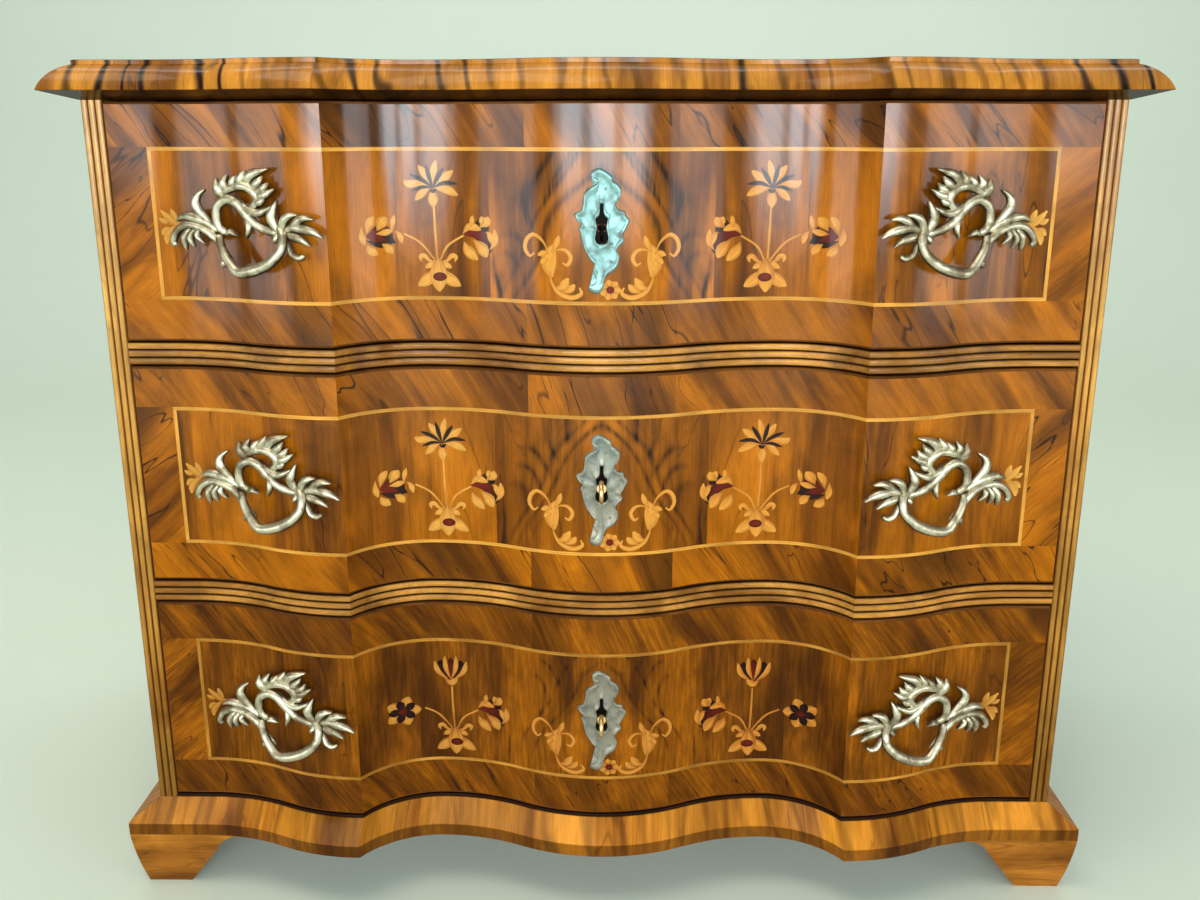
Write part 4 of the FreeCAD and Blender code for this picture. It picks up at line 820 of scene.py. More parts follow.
ROSE = [
    (1, 14, [(-4, 6), (2, 12), (9, 8)]), (2, 11, [(-16, 3), (-2, 4), (9, -6)]),
    (1, 6, [(6, 4), (11, -6), (8, -16)]),
    (0, 8, [(-16, 4), (-9, 11), (2, 8)]), (0, 5, [(-8, 10), (-7, 16), (-6, 22)]),
    (0, 9, [(1, 10), (4, 15), (2, 21)]), (0, 9, [(2, 11), (7, 15), (9, 21)]),
    (0, 7, [(10, -12), (15, -3), (15, 9)]), (0, 6, [(7, 6), (10, 3), (12, -6)]),
    (0, 11, [(-15, -4), (-11, -13), (-2, -22)]), (0, 12, [(-6, -2), (2, -10), (7, -19)]),
]
STAR = [
    *((0, 12, ray(angle, 5, 11, 18)) for angle in range(0, 360, 72)),
    *((1, 9, ray(angle, 0, 7, 14)) for angle in range(36, 360, 72)),
    (2, 9, ray(0, -5, 0, 5)),
]
LILY = [
    (0, 5, [(0, 0), (-8, 1), (-13, 6), (-17, 5), (-16, 0)]),
    (0, 5, [(0, 0), (8, 1), (13, 6), (17, 5), (16, 0)]),
    (0, 6, [(0, -4), (-7, -3), (-13, -6)]), (0, 6, [(0, -4), (7, -3), (13, -6)]),
    (0, 12, [(-2, -6), (-9, -16), (-20, -24)]), (0, 12, [(2, -6), (9, -16), (21, -24)]),
    (0, 18, [(0, 4), (0, -10), (0, -30)]),
]


def inlay_spray(work, middle, side, lift, top, outer):
    """Flower spray: a large bloom on a stem, two side flowers on bowed stems and a lily at the foot."""
    origin = side * SPRAY_X
    side = -side

    def stem(points, width):
        inlay_leaf(work, points, width, middle, 0, lift, side, origin, (0.35, 0.25), 0.85)

    stem([(-1, 17), (-0.5, -5), (0.5, -34)], 2.6)
    stem([(-30, -9), (-15, -18), (-1, -36)], 2.4)
    stem([(27, -10), (11, -21), (3, -36)], 2.4)
    inlay_petals(work, (-1.5, 36.8), top, middle, lift + FLOWER_LIFT, side, origin)
    inlay_petals(work, (-52, -10.5), outer, middle, lift + FLOWER_LIFT, side, origin)
    inlay_petals(work, (42, -12.5), ROSE, middle, lift + FLOWER_LIFT, side, origin)
    inlay_petals(work, (1.5, -37), LILY, middle, lift + FLOWER_LIFT, side, origin)
    inlay_disc(work, (2.5, -52), (7, 4.5), middle, 2, lift + BERRY_LIFT, side, origin)


def inlay_scrolls(work, middle, lift):
    """Leafy scrolls on both sides of the lower half of the keyhole plate, and a small flower below it."""
    for _, side in SIDES:
        def leaf(points, width, shade=(0.3, 0.05), point=0.35):
            points = np.array(points) * (SCROLL_SQUEEZE, 1)
            inlay_leaf(work, points, width, middle, 0, lift, side, 0.0, shade, point)

        leaf([(57, -26), (61, -17), (66, -11), (74, -7), (81, -12), (83, -21), (78, -28), (73, -25)], 4.5)
        leaf([(50, -15), (55, -24), (57, -36), (54, -48)], 15, (0.1, 0.2), 0.2)
        leaf([(53, -24), (46, -21), (38, -22), (33, -29), (37, -36), (42, -34)], 4.2)
        leaf([(54, -24), (49, -16), (46, -8)], 6)
        leaf([(58, -24), (63, -25), (69, -27)], 6)
        leaf([(57, -31), (62, -32), (66, -35)], 6)
        leaf([(56, -42), (54, -53), (47, -63), (33, -68), (22, -64), (24, -58)], 5)
        leaf([(50, -59), (42, -57), (36, -49)], 9)
        leaf([(42, -63), (34, -60), (29, -55)], 7)
    petals = [(0, 8, ray(angle, 0, 5, 10)) for angle in range(0, 360, 51)]
    inlay_petals(work, (8, -60), petals, middle, lift + 2 * FLOWER_LIFT, 1.0, 0.0)
    inlay_disc(work, (8, -60), (4, 3.6), middle, 2, lift + BERRY_LIFT + FLOWER_LIFT)


def inlay_sprigs(work, middle, lift):
    """Small acanthus sprigs at the outer ends of the flanks."""
    for _, side in SIDES:
        for width, points in (
            (7.5, [(-9, 2), (-2, 1), (5, 6), (12, 14)]), (6.5, [(-4, 1), (-1, 7), (2, 15)]),
            (7.5, [(-4, 0), (3, -5), (8, -12), (9, -19)]), (5.5, [(3, 4), (9, 3), (14, 6)]),
            (5.5, [(2, -4), (9, -5), (13, -10)]),
        ):
            inlay_leaf(work, points, width, middle, 0, lift, side, side * SPRIG_X, (0.2, 0.0), 0.3)


# Cast mounts

# Strokes of the openwork, in percent of the pull's width and height from its middle, towards the middle of
# the chest and up: points and half width in millimetres.  Bars keep their width and leaves end in a point.
PULL_BARS = [
    ([(-9, -42), (-14, -31), (-19, -18), (-26, -8), (-36, -4), (-44, -9), (-48.5, -19), (-47, -25)], 4.4),
    ([(-11, -13), (-17, -6), (-18, 4), (-16, 14), (-10, 20), (-4, 17), (1, 8), (7, -2), (14, -8), (23, -11)],
     5.2),
    ([(-14, 22), (-10, 28), (-3, 32), (3, 32), (8, 27), (9.5, 20), (6, 13), (1, 9)], 5.0),
    ([(23, -12), (27, -20), (30, -29), (34, -32.5), (37, -30)], 3.4),
    ([(-16, -41), (-13, -36)], 4.2),
    ([(20, -17), (21.5, -13)], 3.8),
]
PULL_LEAVES = [
    ([(-18, -10), (-27, 0), (-38, 4), (-46, -1)], 5.2),
    ([(-20, -8), (-27, 5), (-30.5, 15), (-29, 23), (-24, 29)], 5.4),
    ([(2, 6), (3.6, -6), (1, -16)], 3.2),
    ([(-12, 22), (-15.5, 30), (-16, 39)], 5.4),
    ([(-9, 27), (-11, 35), (-8.5, 42)], 4.8),
    ([(-5, 30), (-5, 36), (-2.5, 41)], 4.4),
    ([(-1, 31), (0, 39), (3, 46)], 4.8),
    ([(2, 31), (7, 42), (18, 48)], 5.4),
    ([(5, 28), (11, 35), (14, 41)], 4.6),
    ([(7, 26), (14, 30), (17, 35)], 4.6),
    ([(8, 23), (14, 24), (21, 30)], 5.0),
    ([(8, 18), (12, 18), (15, 22)], 4.2),
    ([(-5, 21), (2, 12), (9, 8), (15, 11), (22, 17)], 4.4),
    ([(22, -11), (18, 2), (19, 10), (22, 20)], 5.4),
    ([(23, -10), (26, 1), (30, 6), (35, 7)], 4.6),
    ([(23, -12), (31, -5), (39, -6), (45, -9), (50, -14)], 5.4),
    ([(24, -13), (31, -13), (37, -16), (42, -22)], 4.8),
    ([(29, -7), (34, 0), (39, 4), (45, 3)], 4.6),
    ([(-36, -6), (-40, -16), (-40, -28)], 4.2),
    ([(-33, -7), (-36, -16), (-34, -25)], 3.8),
    ([(-30, -8), (-31, -14), (-27, -21)], 3.4),
    ([(-12, -12), (-9, -10), (-5, -13)], 3.6),
]
PULL_GRIP = [
    (-18, -13), (-14, -26), (-8, -39), (-2, -46), (8, -44), (18, -37), (25, -26), (26, -14), (22, -5)
]
PULL_PLATE_OUT = 0.010
STROKE_DEPTH = 0.0052
STROKE_BOW = 0.003
STROKE_STEP = 0.0004
GRIP_OUT = 0.025
GRIP_RADIUS = 0.0043
GRIP_SWELL = 0.0014
STUD_RUN = 0.034
STUD_DROP = 0.015
STUD_RADIUS = 0.0058
STUD_OVERLAP = 0.003


def tube(work, path, wide, deep, out, flatten=1.0):
    """A cast bar along a path: a ridged oval in every cross-section, wide by deep, pointed at both ends.

    A point of the ring is c + wide * cos(a) * n + deep * |sin(a)| ** 1.25 * b, where n lies across the path
    and b is nearest to out.  flatten scales the half that faces the wood.  That half and the underside are
    darkened: patina, and painted shade.
    """
    tangent = np.gradient(path, axis=0)
    tangent /= np.linalg.norm(tangent, axis=1, keepdims=True)
    across = np.cross(tangent, out)
    across /= np.linalg.norm(across, axis=1, keepdims=True)
    up = np.cross(across, tangent)
    angle = np.linspace(0, 2 * np.pi, 15)[:-1]
    rise = np.abs(np.sin(angle)) ** 1.25 * np.where(np.sin(angle) < 0, -flatten, 1.0)
    ring = path[:, None] + across[:, None] * (wide[:, None] * np.cos(angle))[..., None]
    ring = ring + up[:, None] * (deep[:, None] * rise)[..., None]
    run = np.stack(np.broadcast_arrays(np.linspace(0, 1, len(path))[:, None], angle / 6), axis=-1)
    rim = across[:, None] * np.cos(angle)[None, :, None] + up[:, None] * np.sin(angle)[None, :, None]
    # Darker towards the wood and underneath: patina, and painted shade.
    patina_and_shade = np.clip(1.05 - 1.1 * (rim @ out) - 0.65 * rim[..., 2], 0, 1)
    work.add(ring, run, 0, patina_and_shade, closed=True)


def cast_pull(level, side_name, side, material):
    """One pull: leafy openwork, a bowed grip and two feet, for the left side and mirrored for the right."""
    work = Patchwork()
    x = -PULL_X
    foot = np.array([x, FRONT_Y - front_depth(x), drawer_middle(level) + PULL_RISE])
    along = np.array([math.cos(PULL_TURN), -math.sin(PULL_TURN), 0])
    out = np.array([-math.sin(PULL_TURN), -math.cos(PULL_TURN), 0])
    up = np.array([0.0, 0.0, 1.0])
    mirror = np.array([-side, 1, 1])
    base = foot + PULL_SHIFT * along

    def placed(flat, stand):
        points = base + flat[:, :1] * along + flat[:, 1:2] * up + stand[:, None] * out
        return points * mirror

    size = np.array([PULL_WIDTH, PULL_HEIGHT]) / 100
    strokes = [(*stroke, False) for stroke in PULL_BARS] + [(*stroke, True) for stroke in PULL_LEAVES]
    for order, (points, half, pointed) in enumerate(strokes):
        count = 12 * len(points)
        flat = smooth_path(np.array(points) * size, count)
        t = np.linspace(0, 1, count)
        close = np.minimum(1, np.minimum(t, 1 - t) / 0.05) ** 0.5
        swell = np.sin(np.pi * (0.18 + 0.78 * t)) if pointed else 0.75 + 0.25 * np.sin(np.pi * t)
        wide = half / 1000 * swell * close
        deep = STROKE_DEPTH * (0.6 + 0.4 * np.sin(np.pi * t)) * close
        stand = PULL_PLATE_OUT + STROKE_BOW * np.sin(np.pi * t) + STROKE_STEP * (order % 3)
        tube(work, placed(flat, stand), wide, deep, out * mirror, 0.6)
    count = 12 * len(PULL_GRIP)
    flat = smooth_path(np.array(PULL_GRIP) * size, count)
    t = np.linspace(0, 1, count)
    close = np.minimum(1, np.minimum(t, 1 - t) / 0.02) ** 0.5
    thick = GRIP_RADIUS + GRIP_SWELL * np.sin(np.pi * t) ** 2
    stand = PULL_PLATE_OUT + (GRIP_OUT - PULL_PLATE_OUT) * np.sin(np.pi * t) ** 0.7
    tube(work, placed(flat, stand), thick * close, thick * close, out * mirror)
    for step in (-1, 1):
        stud_x = x + step * STUD_RUN
        stud_z = drawer_middle(level) + PULL_RISE - STUD_DROP
        start = FRONT_Y - front_depth(stud_x)
        reach = foot[1] + (stud_x - x) / along[0] * along[1] - PULL_PLATE_OUT / math.cos(PULL_TURN)
        t = np.linspace(0, 1, 14)
        depth = start + t * (reach - STUD_OVERLAP - start)
        path = np.stack([np.full_like(t, stud_x), depth, np.full_like(t, stud_z)], axis=1)
        close = np.minimum(1, np.minimum(t, 1 - t) / 0.05 + 1e-4) ** 0.5
        radius = STUD_RADIUS * close * (1 - 0.2 * np.sin(np.pi * t))
        tube(work, path * mirror, radius, radius, up)
    return work.build(
        f"{level}_{side_name}_pull", f"{level}_drawer", [material],
        [f"{level}_{side_name}_handle"], weld=True,
    )


# Edge of a keyhole plate in millimetres from the key's axis, clockwise from the top.
PLATE_EDGE = [
    (-10.5, 52), (-7.3, 55.1), (-2.1, 56.5), (3.1, 54.1), (9.4, 49.9), (10.5, 45.2), (15.2, 42),
    (18.8, 36.8), (17.8, 30.5), (13.6, 26.4), (13.1, 22.2), (16.7, 17.5), (22.5, 15.9), (23.5, 11.7),
    (27.2, 7.5), (25.1, 2.3), (22.5, -2.9), (19.9, -7.1), (22, -12.3), (17.8, -16.5), (14.6, -21.8),
    (17.3, -28), (15.7, -36.4), (11.5, -41.6), (5.2, -45.8), (2.6, -51), (1, -58.4), (-3.1, -63.6),
    (-9.4, -62.5), (-13.1, -59.4), (-7.3, -56.3), (-5.2, -51), (-8.4, -41.6), (-6.2, -36.4),
    (-10.5, -31.2), (-15.7, -22.8), (-18.8, -14.4), (-20.9, -5), (-22.5, -0.8), (-19.9, 3.3),
    (-24.1, 7.5), (-26.7, 13.3), (-19.9, 17.5), (-17.8, 26.4), (-16.7, 33.7), (-10.5, 38.9), (-4.7, 42),
    (-3.1, 46.2), (-6.3, 47.8),
]
APERTURE = [
    (0, 23), (1.9, 22), (1.9, 15), (3.2, 11), (5.8, 8.5), (5, 4), (4.3, 0), (5.4, -5), (6.4, -10),
    (4.5, -14.5), (0, -15.5), (-4.5, -14.5), (-6.4, -10), (-5.4, -5), (-4.3, 0), (-5, 4), (-5.8, 8.5),
    (-3.2, 11), (-1.9, 15), (-1.9, 22),
]
# Points round the plate, rows from the aperture to the edge, and the pins in millimetres from the key's axis.
PLATE_POINTS = 240
PLATE_ROWS = np.array([0, 0, 0.02, 0.06, 0.12, 0.2, 0.3, 0.42, 0.55, 0.68, 0.8, 0.9, 0.96, 1, 1])
PLATE_CENTRE = np.array([0.0, -0.0035])
PLATE_PINS = [(4, 37), (20, 10), (-20, 7), (10, -15), (9, -33)]
PIN_RADIUS = 0.0013


def closed_line(points, count):
    """A closed smooth line through the points, evenly spaced along its length and started at the top."""
    points = np.asarray(points, dtype=float) / 1000
    per_span = 60
    fine = smooth_path(np.vstack([points[-2:], points, points[:3]]), per_span * (len(points) + 4))
    fine = fine[2 * per_span:-2 * per_span + 1]
    steps = np.concatenate([[0], np.cumsum(np.linalg.norm(np.diff(fine, axis=0), axis=1))])
    at = np.linspace(0, steps[-1], count + 1)[:-1]
    return np.stack([np.interp(at, steps, fine[:, k]) for k in range(2)], axis=1)


def aperture_line(edge):
    """For every point of the edge, the point of the aperture in the same direction from the centre."""
    hole = closed_line(APERTURE, 6 * PLATE_POINTS) - PLATE_CENTRE
    edge = edge - PLATE_CENTRE
    known = np.mod(np.arctan2(hole[:, 0], hole[:, 1]), 2 * np.pi)
    want = np.mod(np.arctan2(edge[:, 0], edge[:, 1]), 2 * np.pi)
    order = np.argsort(known)
    hole, known = hole[order], known[order]
    inner = [np.interp(want, known, hole[:, k], period=2 * np.pi) for k in range(2)]
    return np.stack(inner, axis=1) + PLATE_CENTRE


def plate_pins(work, middle):
    """Small round-headed pins: a dome over a disc of points, share out from the middle by angle."""
    share, angle = np.meshgrid(np.linspace(0.01, 1, 6), np.linspace(0, 2 * np.pi, 17)[:-1], indexing="ij")
    dome = 0.0018 + 0.0009 * np.sqrt(1 - 0.98 * share ** 2)
    for across, high in PLATE_PINS:
        x = across / 1000 + PIN_RADIUS * share * np.cos(angle)
        h = high / 1000 + PIN_RADIUS * share * np.sin(angle)
        run = np.stack([x, h], axis=-1)
        work.add(on_front(x, middle + h, dome), run, 0, 0.0, (0, -1, 0), closed=True)


def keyhole_plate(level, material):
    """Relief plate: rows run from the aperture's rim over a swell to the curled edge and back to the wood.

    Row r at share v lies at aperture + (edge - aperture) * v, and stands off by a rim roll, a hollow and
    small folds that follow the edge's angle.
    """
    work = Patchwork()
    middle = drawer_middle(level)
    edge = closed_line(PLATE_EDGE, PLATE_POINTS)
    inner = aperture_line(edge)
    share = PLATE_ROWS
    rim = 0.0012 * np.exp(-((share - 0.06) / 0.05) ** 2)
    lip = 0.0016 * np.exp(-((share - 0.92) / 0.07) ** 2)
    swell = 0.0014 + rim + lip - 0.0007 * np.sin(np.pi * np.clip((share - 0.1) / 0.75, 0, 1))
    swell[[0, -1]] = 0.0
    swell[[1, -2]] = 0.0009
    turn = np.linspace(0, 2 * np.pi, PLATE_POINTS, endpoint=False)
    folds = 0.00025 * np.sin(9 * turn) * np.sin(np.pi * share)[:, None] ** 2
    flat = inner + (edge - inner) * share[:, None, None]
    stand = np.maximum(swell[:, None] + folds * (swell > 0)[:, None], 0)
    points = on_front(flat[..., 0], middle + flat[..., 1], stand)
    work.add(points, flat, 0, 0.0, (0, -1, 0), closed=True)
    plate_pins(work, middle)
    return work.build(
        f"{level}_keyhole_plate", f"{level}_drawer", [material], [f"{level}_escutcheon"]
    )


# Top

TOP_LIFT = 0.0003
TOP_OVERHANG = 0.002
TOP_BACK_MARGIN = 0.0015
TOP_BORDER = 0.075
TOP_MIDDLE_Y = 0.03
TOP_LEAN = 35


def top_sheet(work, x_range, start, stop, finish, angle, shift, flip=1.0):
    """A leaf on the top between two lines in plan; start and stop give y for any x."""
    x = np.linspace(*x_range, 60)
    t = np.linspace(0, 1, 30)
    low, high = start(x), stop(x)
    y = low[:, None] + (high - low)[:, None] * t
    x = np.broadcast_to(x[:, None], y.shape)
    points = np.stack([x, y, np.full_like(y, TOP_Z + TOP_LIFT)], axis=-1)
    work.add(points, grain_map(x, y, angle, shift, flip), finish, 0.0, (0, 0, 1))


def veneer_top(sizes):
    """Quartered field, maple string and a crossbanded border that follows the serpentine edge."""
    work = Patchwork()
    across, upright = 0.0, math.radians(90)
    string = sizes.string_width
    back = BACK_Y - TOP_BACK_MARGIN
    reach = BODY_HALF + TOP_OVERHANG
    inner = reach - TOP_BORDER
    field = inner - string

    def front(offset):
        return lambda x: FRONT_Y - front_depth(x) - TOP_OVERHANG + offset

    def level_line(y):
        return lambda x: np.full_like(x, y)

    middle = level_line(TOP_MIDDLE_Y)
    front_edge, front_string, front_field = front(0), front(TOP_BORDER), front(TOP_BORDER + string)
    back_edge, back_string = level_line(back), level_line(back - TOP_BORDER)
    back_field = level_line(back - TOP_BORDER - string)
    for _, side in SIDES:
        for start, stop, lean in ((front_field, middle, -TOP_LEAN), (middle, back_field, TOP_LEAN)):
            top_sheet(work, (0, side * field), start, stop, 0, math.radians(lean), (3, 4), side)
        top_sheet(work, (side * inner, side * reach), front_edge, back_edge, 1, across, (side, 2))
        top_sheet(work, (side * field, side * inner), front_string, back_string, 2, upright, (side, 1))
        top_sheet(work, (0, side * inner), front_edge, front_string, 1, upright, (5, side))
        top_sheet(work, (0, side * inner), back_string, back_edge, 1, upright, (6, side))
        top_sheet(work, (0, side * field), front_string, front_field, 2, across, (7, side))
        top_sheet(work, (0, side * field), back_field, back_string, 2, across, (8, side))
    finishes = [WOODS[name] for name in ("top_field", "top_band", "string")]
    return work.build("top_veneers", "carcass", finishes)


# Sides

SIDE_LIFT = 0.0003
SIDE_END_MARGIN = 0.0005
SIDE_EDGE_MARGIN = 0.0002
SIDE_BORDER = 0.06
SIDE_LEAN = 78


def side_sheet(work, y_range, z_range, outer, finish, angle, shift, flip=1.0, seam=0.0):
    """A flat leaf on a side of the chest, a grid over y and z; flip mirrors its figure about the seam."""
    y, z = np.meshgrid(np.linspace(*y_range, 30), np.linspace(*z_range, 40), indexing="ij")
    points = np.stack([np.full_like(y, outer), y, z], axis=-1)
    work.add(points, grain_map(y - seam, z, angle, shift, flip), finish, 0.0, (outer, 0, 0))


def veneer_side(name, side, sizes):
    """Matched pair of leaves, a maple string and a crossbanded border on one side panel."""
    work = Patchwork()
    low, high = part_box(f"{name}_side_panel")
    outer = side * (max(abs(low[0]), abs(high[0])) + SIDE_LIFT)
    front, back = low[1] + SIDE_END_MARGIN, high[1] - SIDE_END_MARGIN
    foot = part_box(f"plinth_{name}")[1][2] + SIDE_EDGE_MARGIN
    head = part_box("top")[0][2] - SIDE_EDGE_MARGIN
    border, string = SIDE_BORDER, sizes.string_width
    upright = math.radians(90)
    for start, stop, grain in ((foot, foot + border, 2.0), (head - border, head, 5.0)):
        side_sheet(work, (front, back), (start, stop), outer, 1, upright, (grain, side))
    rows = foot + border, head - border
    for start, stop, grain in ((front, front + border, 3.0), (back - border, back, 7.0)):
        side_sheet(work, (start, stop), rows, outer, 1, 0.0, (grain, side))
    first, last = front + border, back - border
    for start, stop in ((first, first + string), (last - string, last)):
        side_sheet(work, (start, stop), rows, outer, 2, upright, (1.0, side))
    first, last = first + string, last - string
    for start, stop in ((rows[0], rows[0] + string), (rows[1] - string, rows[1])):
        side_sheet(work, (first, last), (start, stop), outer, 2, 0.0, (4.0, side))
    rows = rows[0] + string, rows[1] - string
    middle = (first + last) / 2
    lean = math.radians(SIDE_LEAN)
    for start, stop, flip in ((first, middle, 1.0), (middle, last, -1.0)):
        side_sheet(work, (start, stop), rows, outer, 0, lean, (6.0, 2.0 * side), flip, middle)
    finishes = [WOODS[wood] for wood in ("flank", "band", "string")]
    return work.build(f"{name}_side_veneers", "carcass", finishes)


# Stage

FLOOR_HALF = 14.0
FLOOR_FRONT = -12.0
BEND_START = 2.2
BEND_RADIUS = 2.5
WALL_HEIGHT = 9.0
AIR_STRENGTH = 0.32
# Name, place, point that it faces, size, watts and tone of every lamp.
LAMPS = (
    ("left_window", (-1.3, -4.2, 1.22), (-1.3, 0, 1.22), (0.9, 1.2), 30, (0.86, 0.92, 1.0)),
    ("middle_window", (0.0, -4.2, 1.22), (0.0, 0, 1.22), (0.9, 1.2), 36, (0.82, 0.9, 1.0)),
    ("right_window", (1.3, -4.2, 1.22), (1.3, 0, 1.22), (0.9, 1.2), 30, (0.86, 0.92, 1.0)),
    ("front_wall", (0.0, -4.3, 1.22), (0.0, 0, 1.22), (4.4, 1.2), 84, (0.8, 0.92, 1.0)),
    ("left_wall", (-4.0, -3.2, 0.95), (0.0, 0, 0.95), (2.4, 1.9), 50, (0.9, 0.94, 1.0)),
    ("right_wall", (4.0, -3.2, 0.95), (0.0, 0, 0.95), (2.4, 1.9), 50, (0.9, 0.94, 1.0)),
    ("sill", (0.0, -4.2, 0.5), (0.0, 0, 0.5), (3.4, 0.24), 15, (0.84, 0.91, 1.0)),
    ("sky", (-0.8, -0.9, 3.0), (0, 0, 0.4), (2.0, 1.0), 24, (1.0, 0.88, 0.68)),
    ("fill", (2.8, -2.0, 1.4), (0, 0, 0.4), (1.2, 1.4), 6, (1.0, 0.97, 0.93)),
    ("ceiling", (0.0, 0.0, 7.0), (0.0, 0.0, 0.0), (9.0, 9.0), 150, (1.0, 1.0, 1.0)),
    ("backdrop", (0, 1.2, 4.5), (0, 4.0, 0.8), (6.0, 1.0), 80, (1.0, 1.0, 1.0)),
)
EYE_PLACE = (0.0115, -1.4083, 0.842)
EYE_TURN = (math.radians(74.46), 0, 0.0116)
EYE_LENS = 34.66
EYE_SENSOR = 36


def pale_floor(scene):
    """A floor that bends up into a wall: its profile is level, a quarter circle and upright."""
    turn = np.linspace(0, math.pi / 2, 24)
    bend_end = BEND_START + BEND_RADIUS
    run = np.concatenate([[FLOOR_FRONT], BEND_START + BEND_RADIUS * np.sin(turn), [bend_end]])
    rise = np.concatenate([[0.0], BEND_RADIUS * (1 - np.cos(turn)), [WALL_HEIGHT]])
    ends = np.array([-FLOOR_HALF, FLOOR_HALF])
    points = np.stack(np.broadcast_arrays(ends, run[:, None], rise[:, None]), axis=-1).reshape(-1, 3)
    first = 2 * np.arange(len(run) - 1)
    faces = np.stack([first, first + 1, first + 3, first + 2], axis=1)
    mesh = bpy.data.meshes.new("floor")
    mesh.from_pydata(points.tolist(), [], faces.tolist())
    mesh.polygons.foreach_set("use_smooth", np.full(len(faces), True))
    material, n, surface = new_material("pale_floor")
    cloud = n.noise(n.place(), 1.3, 3.0)
    n.link(n.mix(cloud, linear(206, 218, 202), linear(214, 224, 210)), surface.inputs["Base Color"])
    surface.inputs["Roughness"].default_value = 0.9
    mesh.materials.append(material)
    floor = bpy.data.objects.new("floor", mesh)
    scene.collection.objects.link(floor)


def pale_air(scene):
    """Even pale green light from all round, shown without a film curve."""
    world = bpy.data.worlds.new("pale_air")
    world.use_nodes = True
    background = world.node_tree.nodes["Background"]
    background.inputs["Color"].default_value = linear(208, 222, 206)
    background.inputs["Strength"].default_value = AIR_STRENGTH
    scene.world = world
    scene.view_settings.view_transform = "Standard"


def hang_lamp(scene, name, place, aim, size, power, tone):
    """An oblong lamp that faces a point."""
    light = bpy.data.lights.new(name, "AREA")
    light.shape = "RECTANGLE"
    light.size, light.size_y = size
    light.energy = power
    light.color = tone
    lamp = bpy.data.objects.new(name, light)
    lamp.location = place
    ahead = np.array(aim) - np.array(place)
    yaw = math.atan2(-ahead[0], ahead[1])
    pitch = math.atan2(math.hypot(ahead[0], ahead[1]), -ahead[2])
    lamp.rotation_euler = (pitch, 0, yaw)
    scene.collection.objects.link(lamp)


def set_eye(scene):
    """The camera, a little above the chest and close before it."""
    lens = bpy.data.cameras.new("eye")
    lens.lens = EYE_LENS
    lens.sensor_width = EYE_SENSOR
    camera = bpy.data.objects.new("eye", lens)
    camera.location = EYE_PLACE
    camera.rotation_euler = EYE_TURN
    scene.collection.objects.link(camera)
    scene.camera = camera


# Settings

def colour_setting(name, description, *screen_colour):
    """A colour for the panel."""
    return bpy.props.FloatVectorProperty(
        name=name, description=description, subtype="COLOR", min=0, max=1,
        default=linear(*screen_colour)[:3],
    )


def length_setting(name, description, default, low, high):
    """A length for the panel, in metres."""
    return bpy.props.FloatProperty(
        name=name, description=description, unit="LENGTH", default=default, min=low, max=high, precision=5
    )


class ChestFinish(bpy.types.PropertyGroup):
    """Colours of the woods and metals."""

    walnut_light: colour_setting("Walnut, light", "Light ground of the veneers", 180, 102, 10)
    walnut_mid: colour_setting("Walnut, mid", "Darker ground of the veneers", 94, 48, 5)
    walnut_dark: colour_setting("Walnut, dark", "Streaks and clouds of the veneers", 36, 18, 8)
    maple: colour_setting("Maple", "Strings", 210, 148, 60)
    brass: colour_setting("Brass", "Rubbed parts of the pulls", 210, 202, 176)


class ChestSizes(bpy.types.PropertyGroup):
    """Sizes of the veneer work."""

    veneer_thickness: length_setting(
        "Veneer thickness", "How far the veneers stand before the drawer front", 0.0004, 0.0001, 0.002
    )
    string_width: length_setting("String width", "Width of the pale line round a drawer", 0.0036, 0.001, 0.02)
    string_side: length_setting(
        "String, from the middle", "Middle of the chest to the upright strings", 0.447, 0.3, 0.47
    )
    string_rise: length_setting(
        "String, height", "Middle of a drawer to its long strings", 0.0735, 0.07, 0.1
    )


# Operators

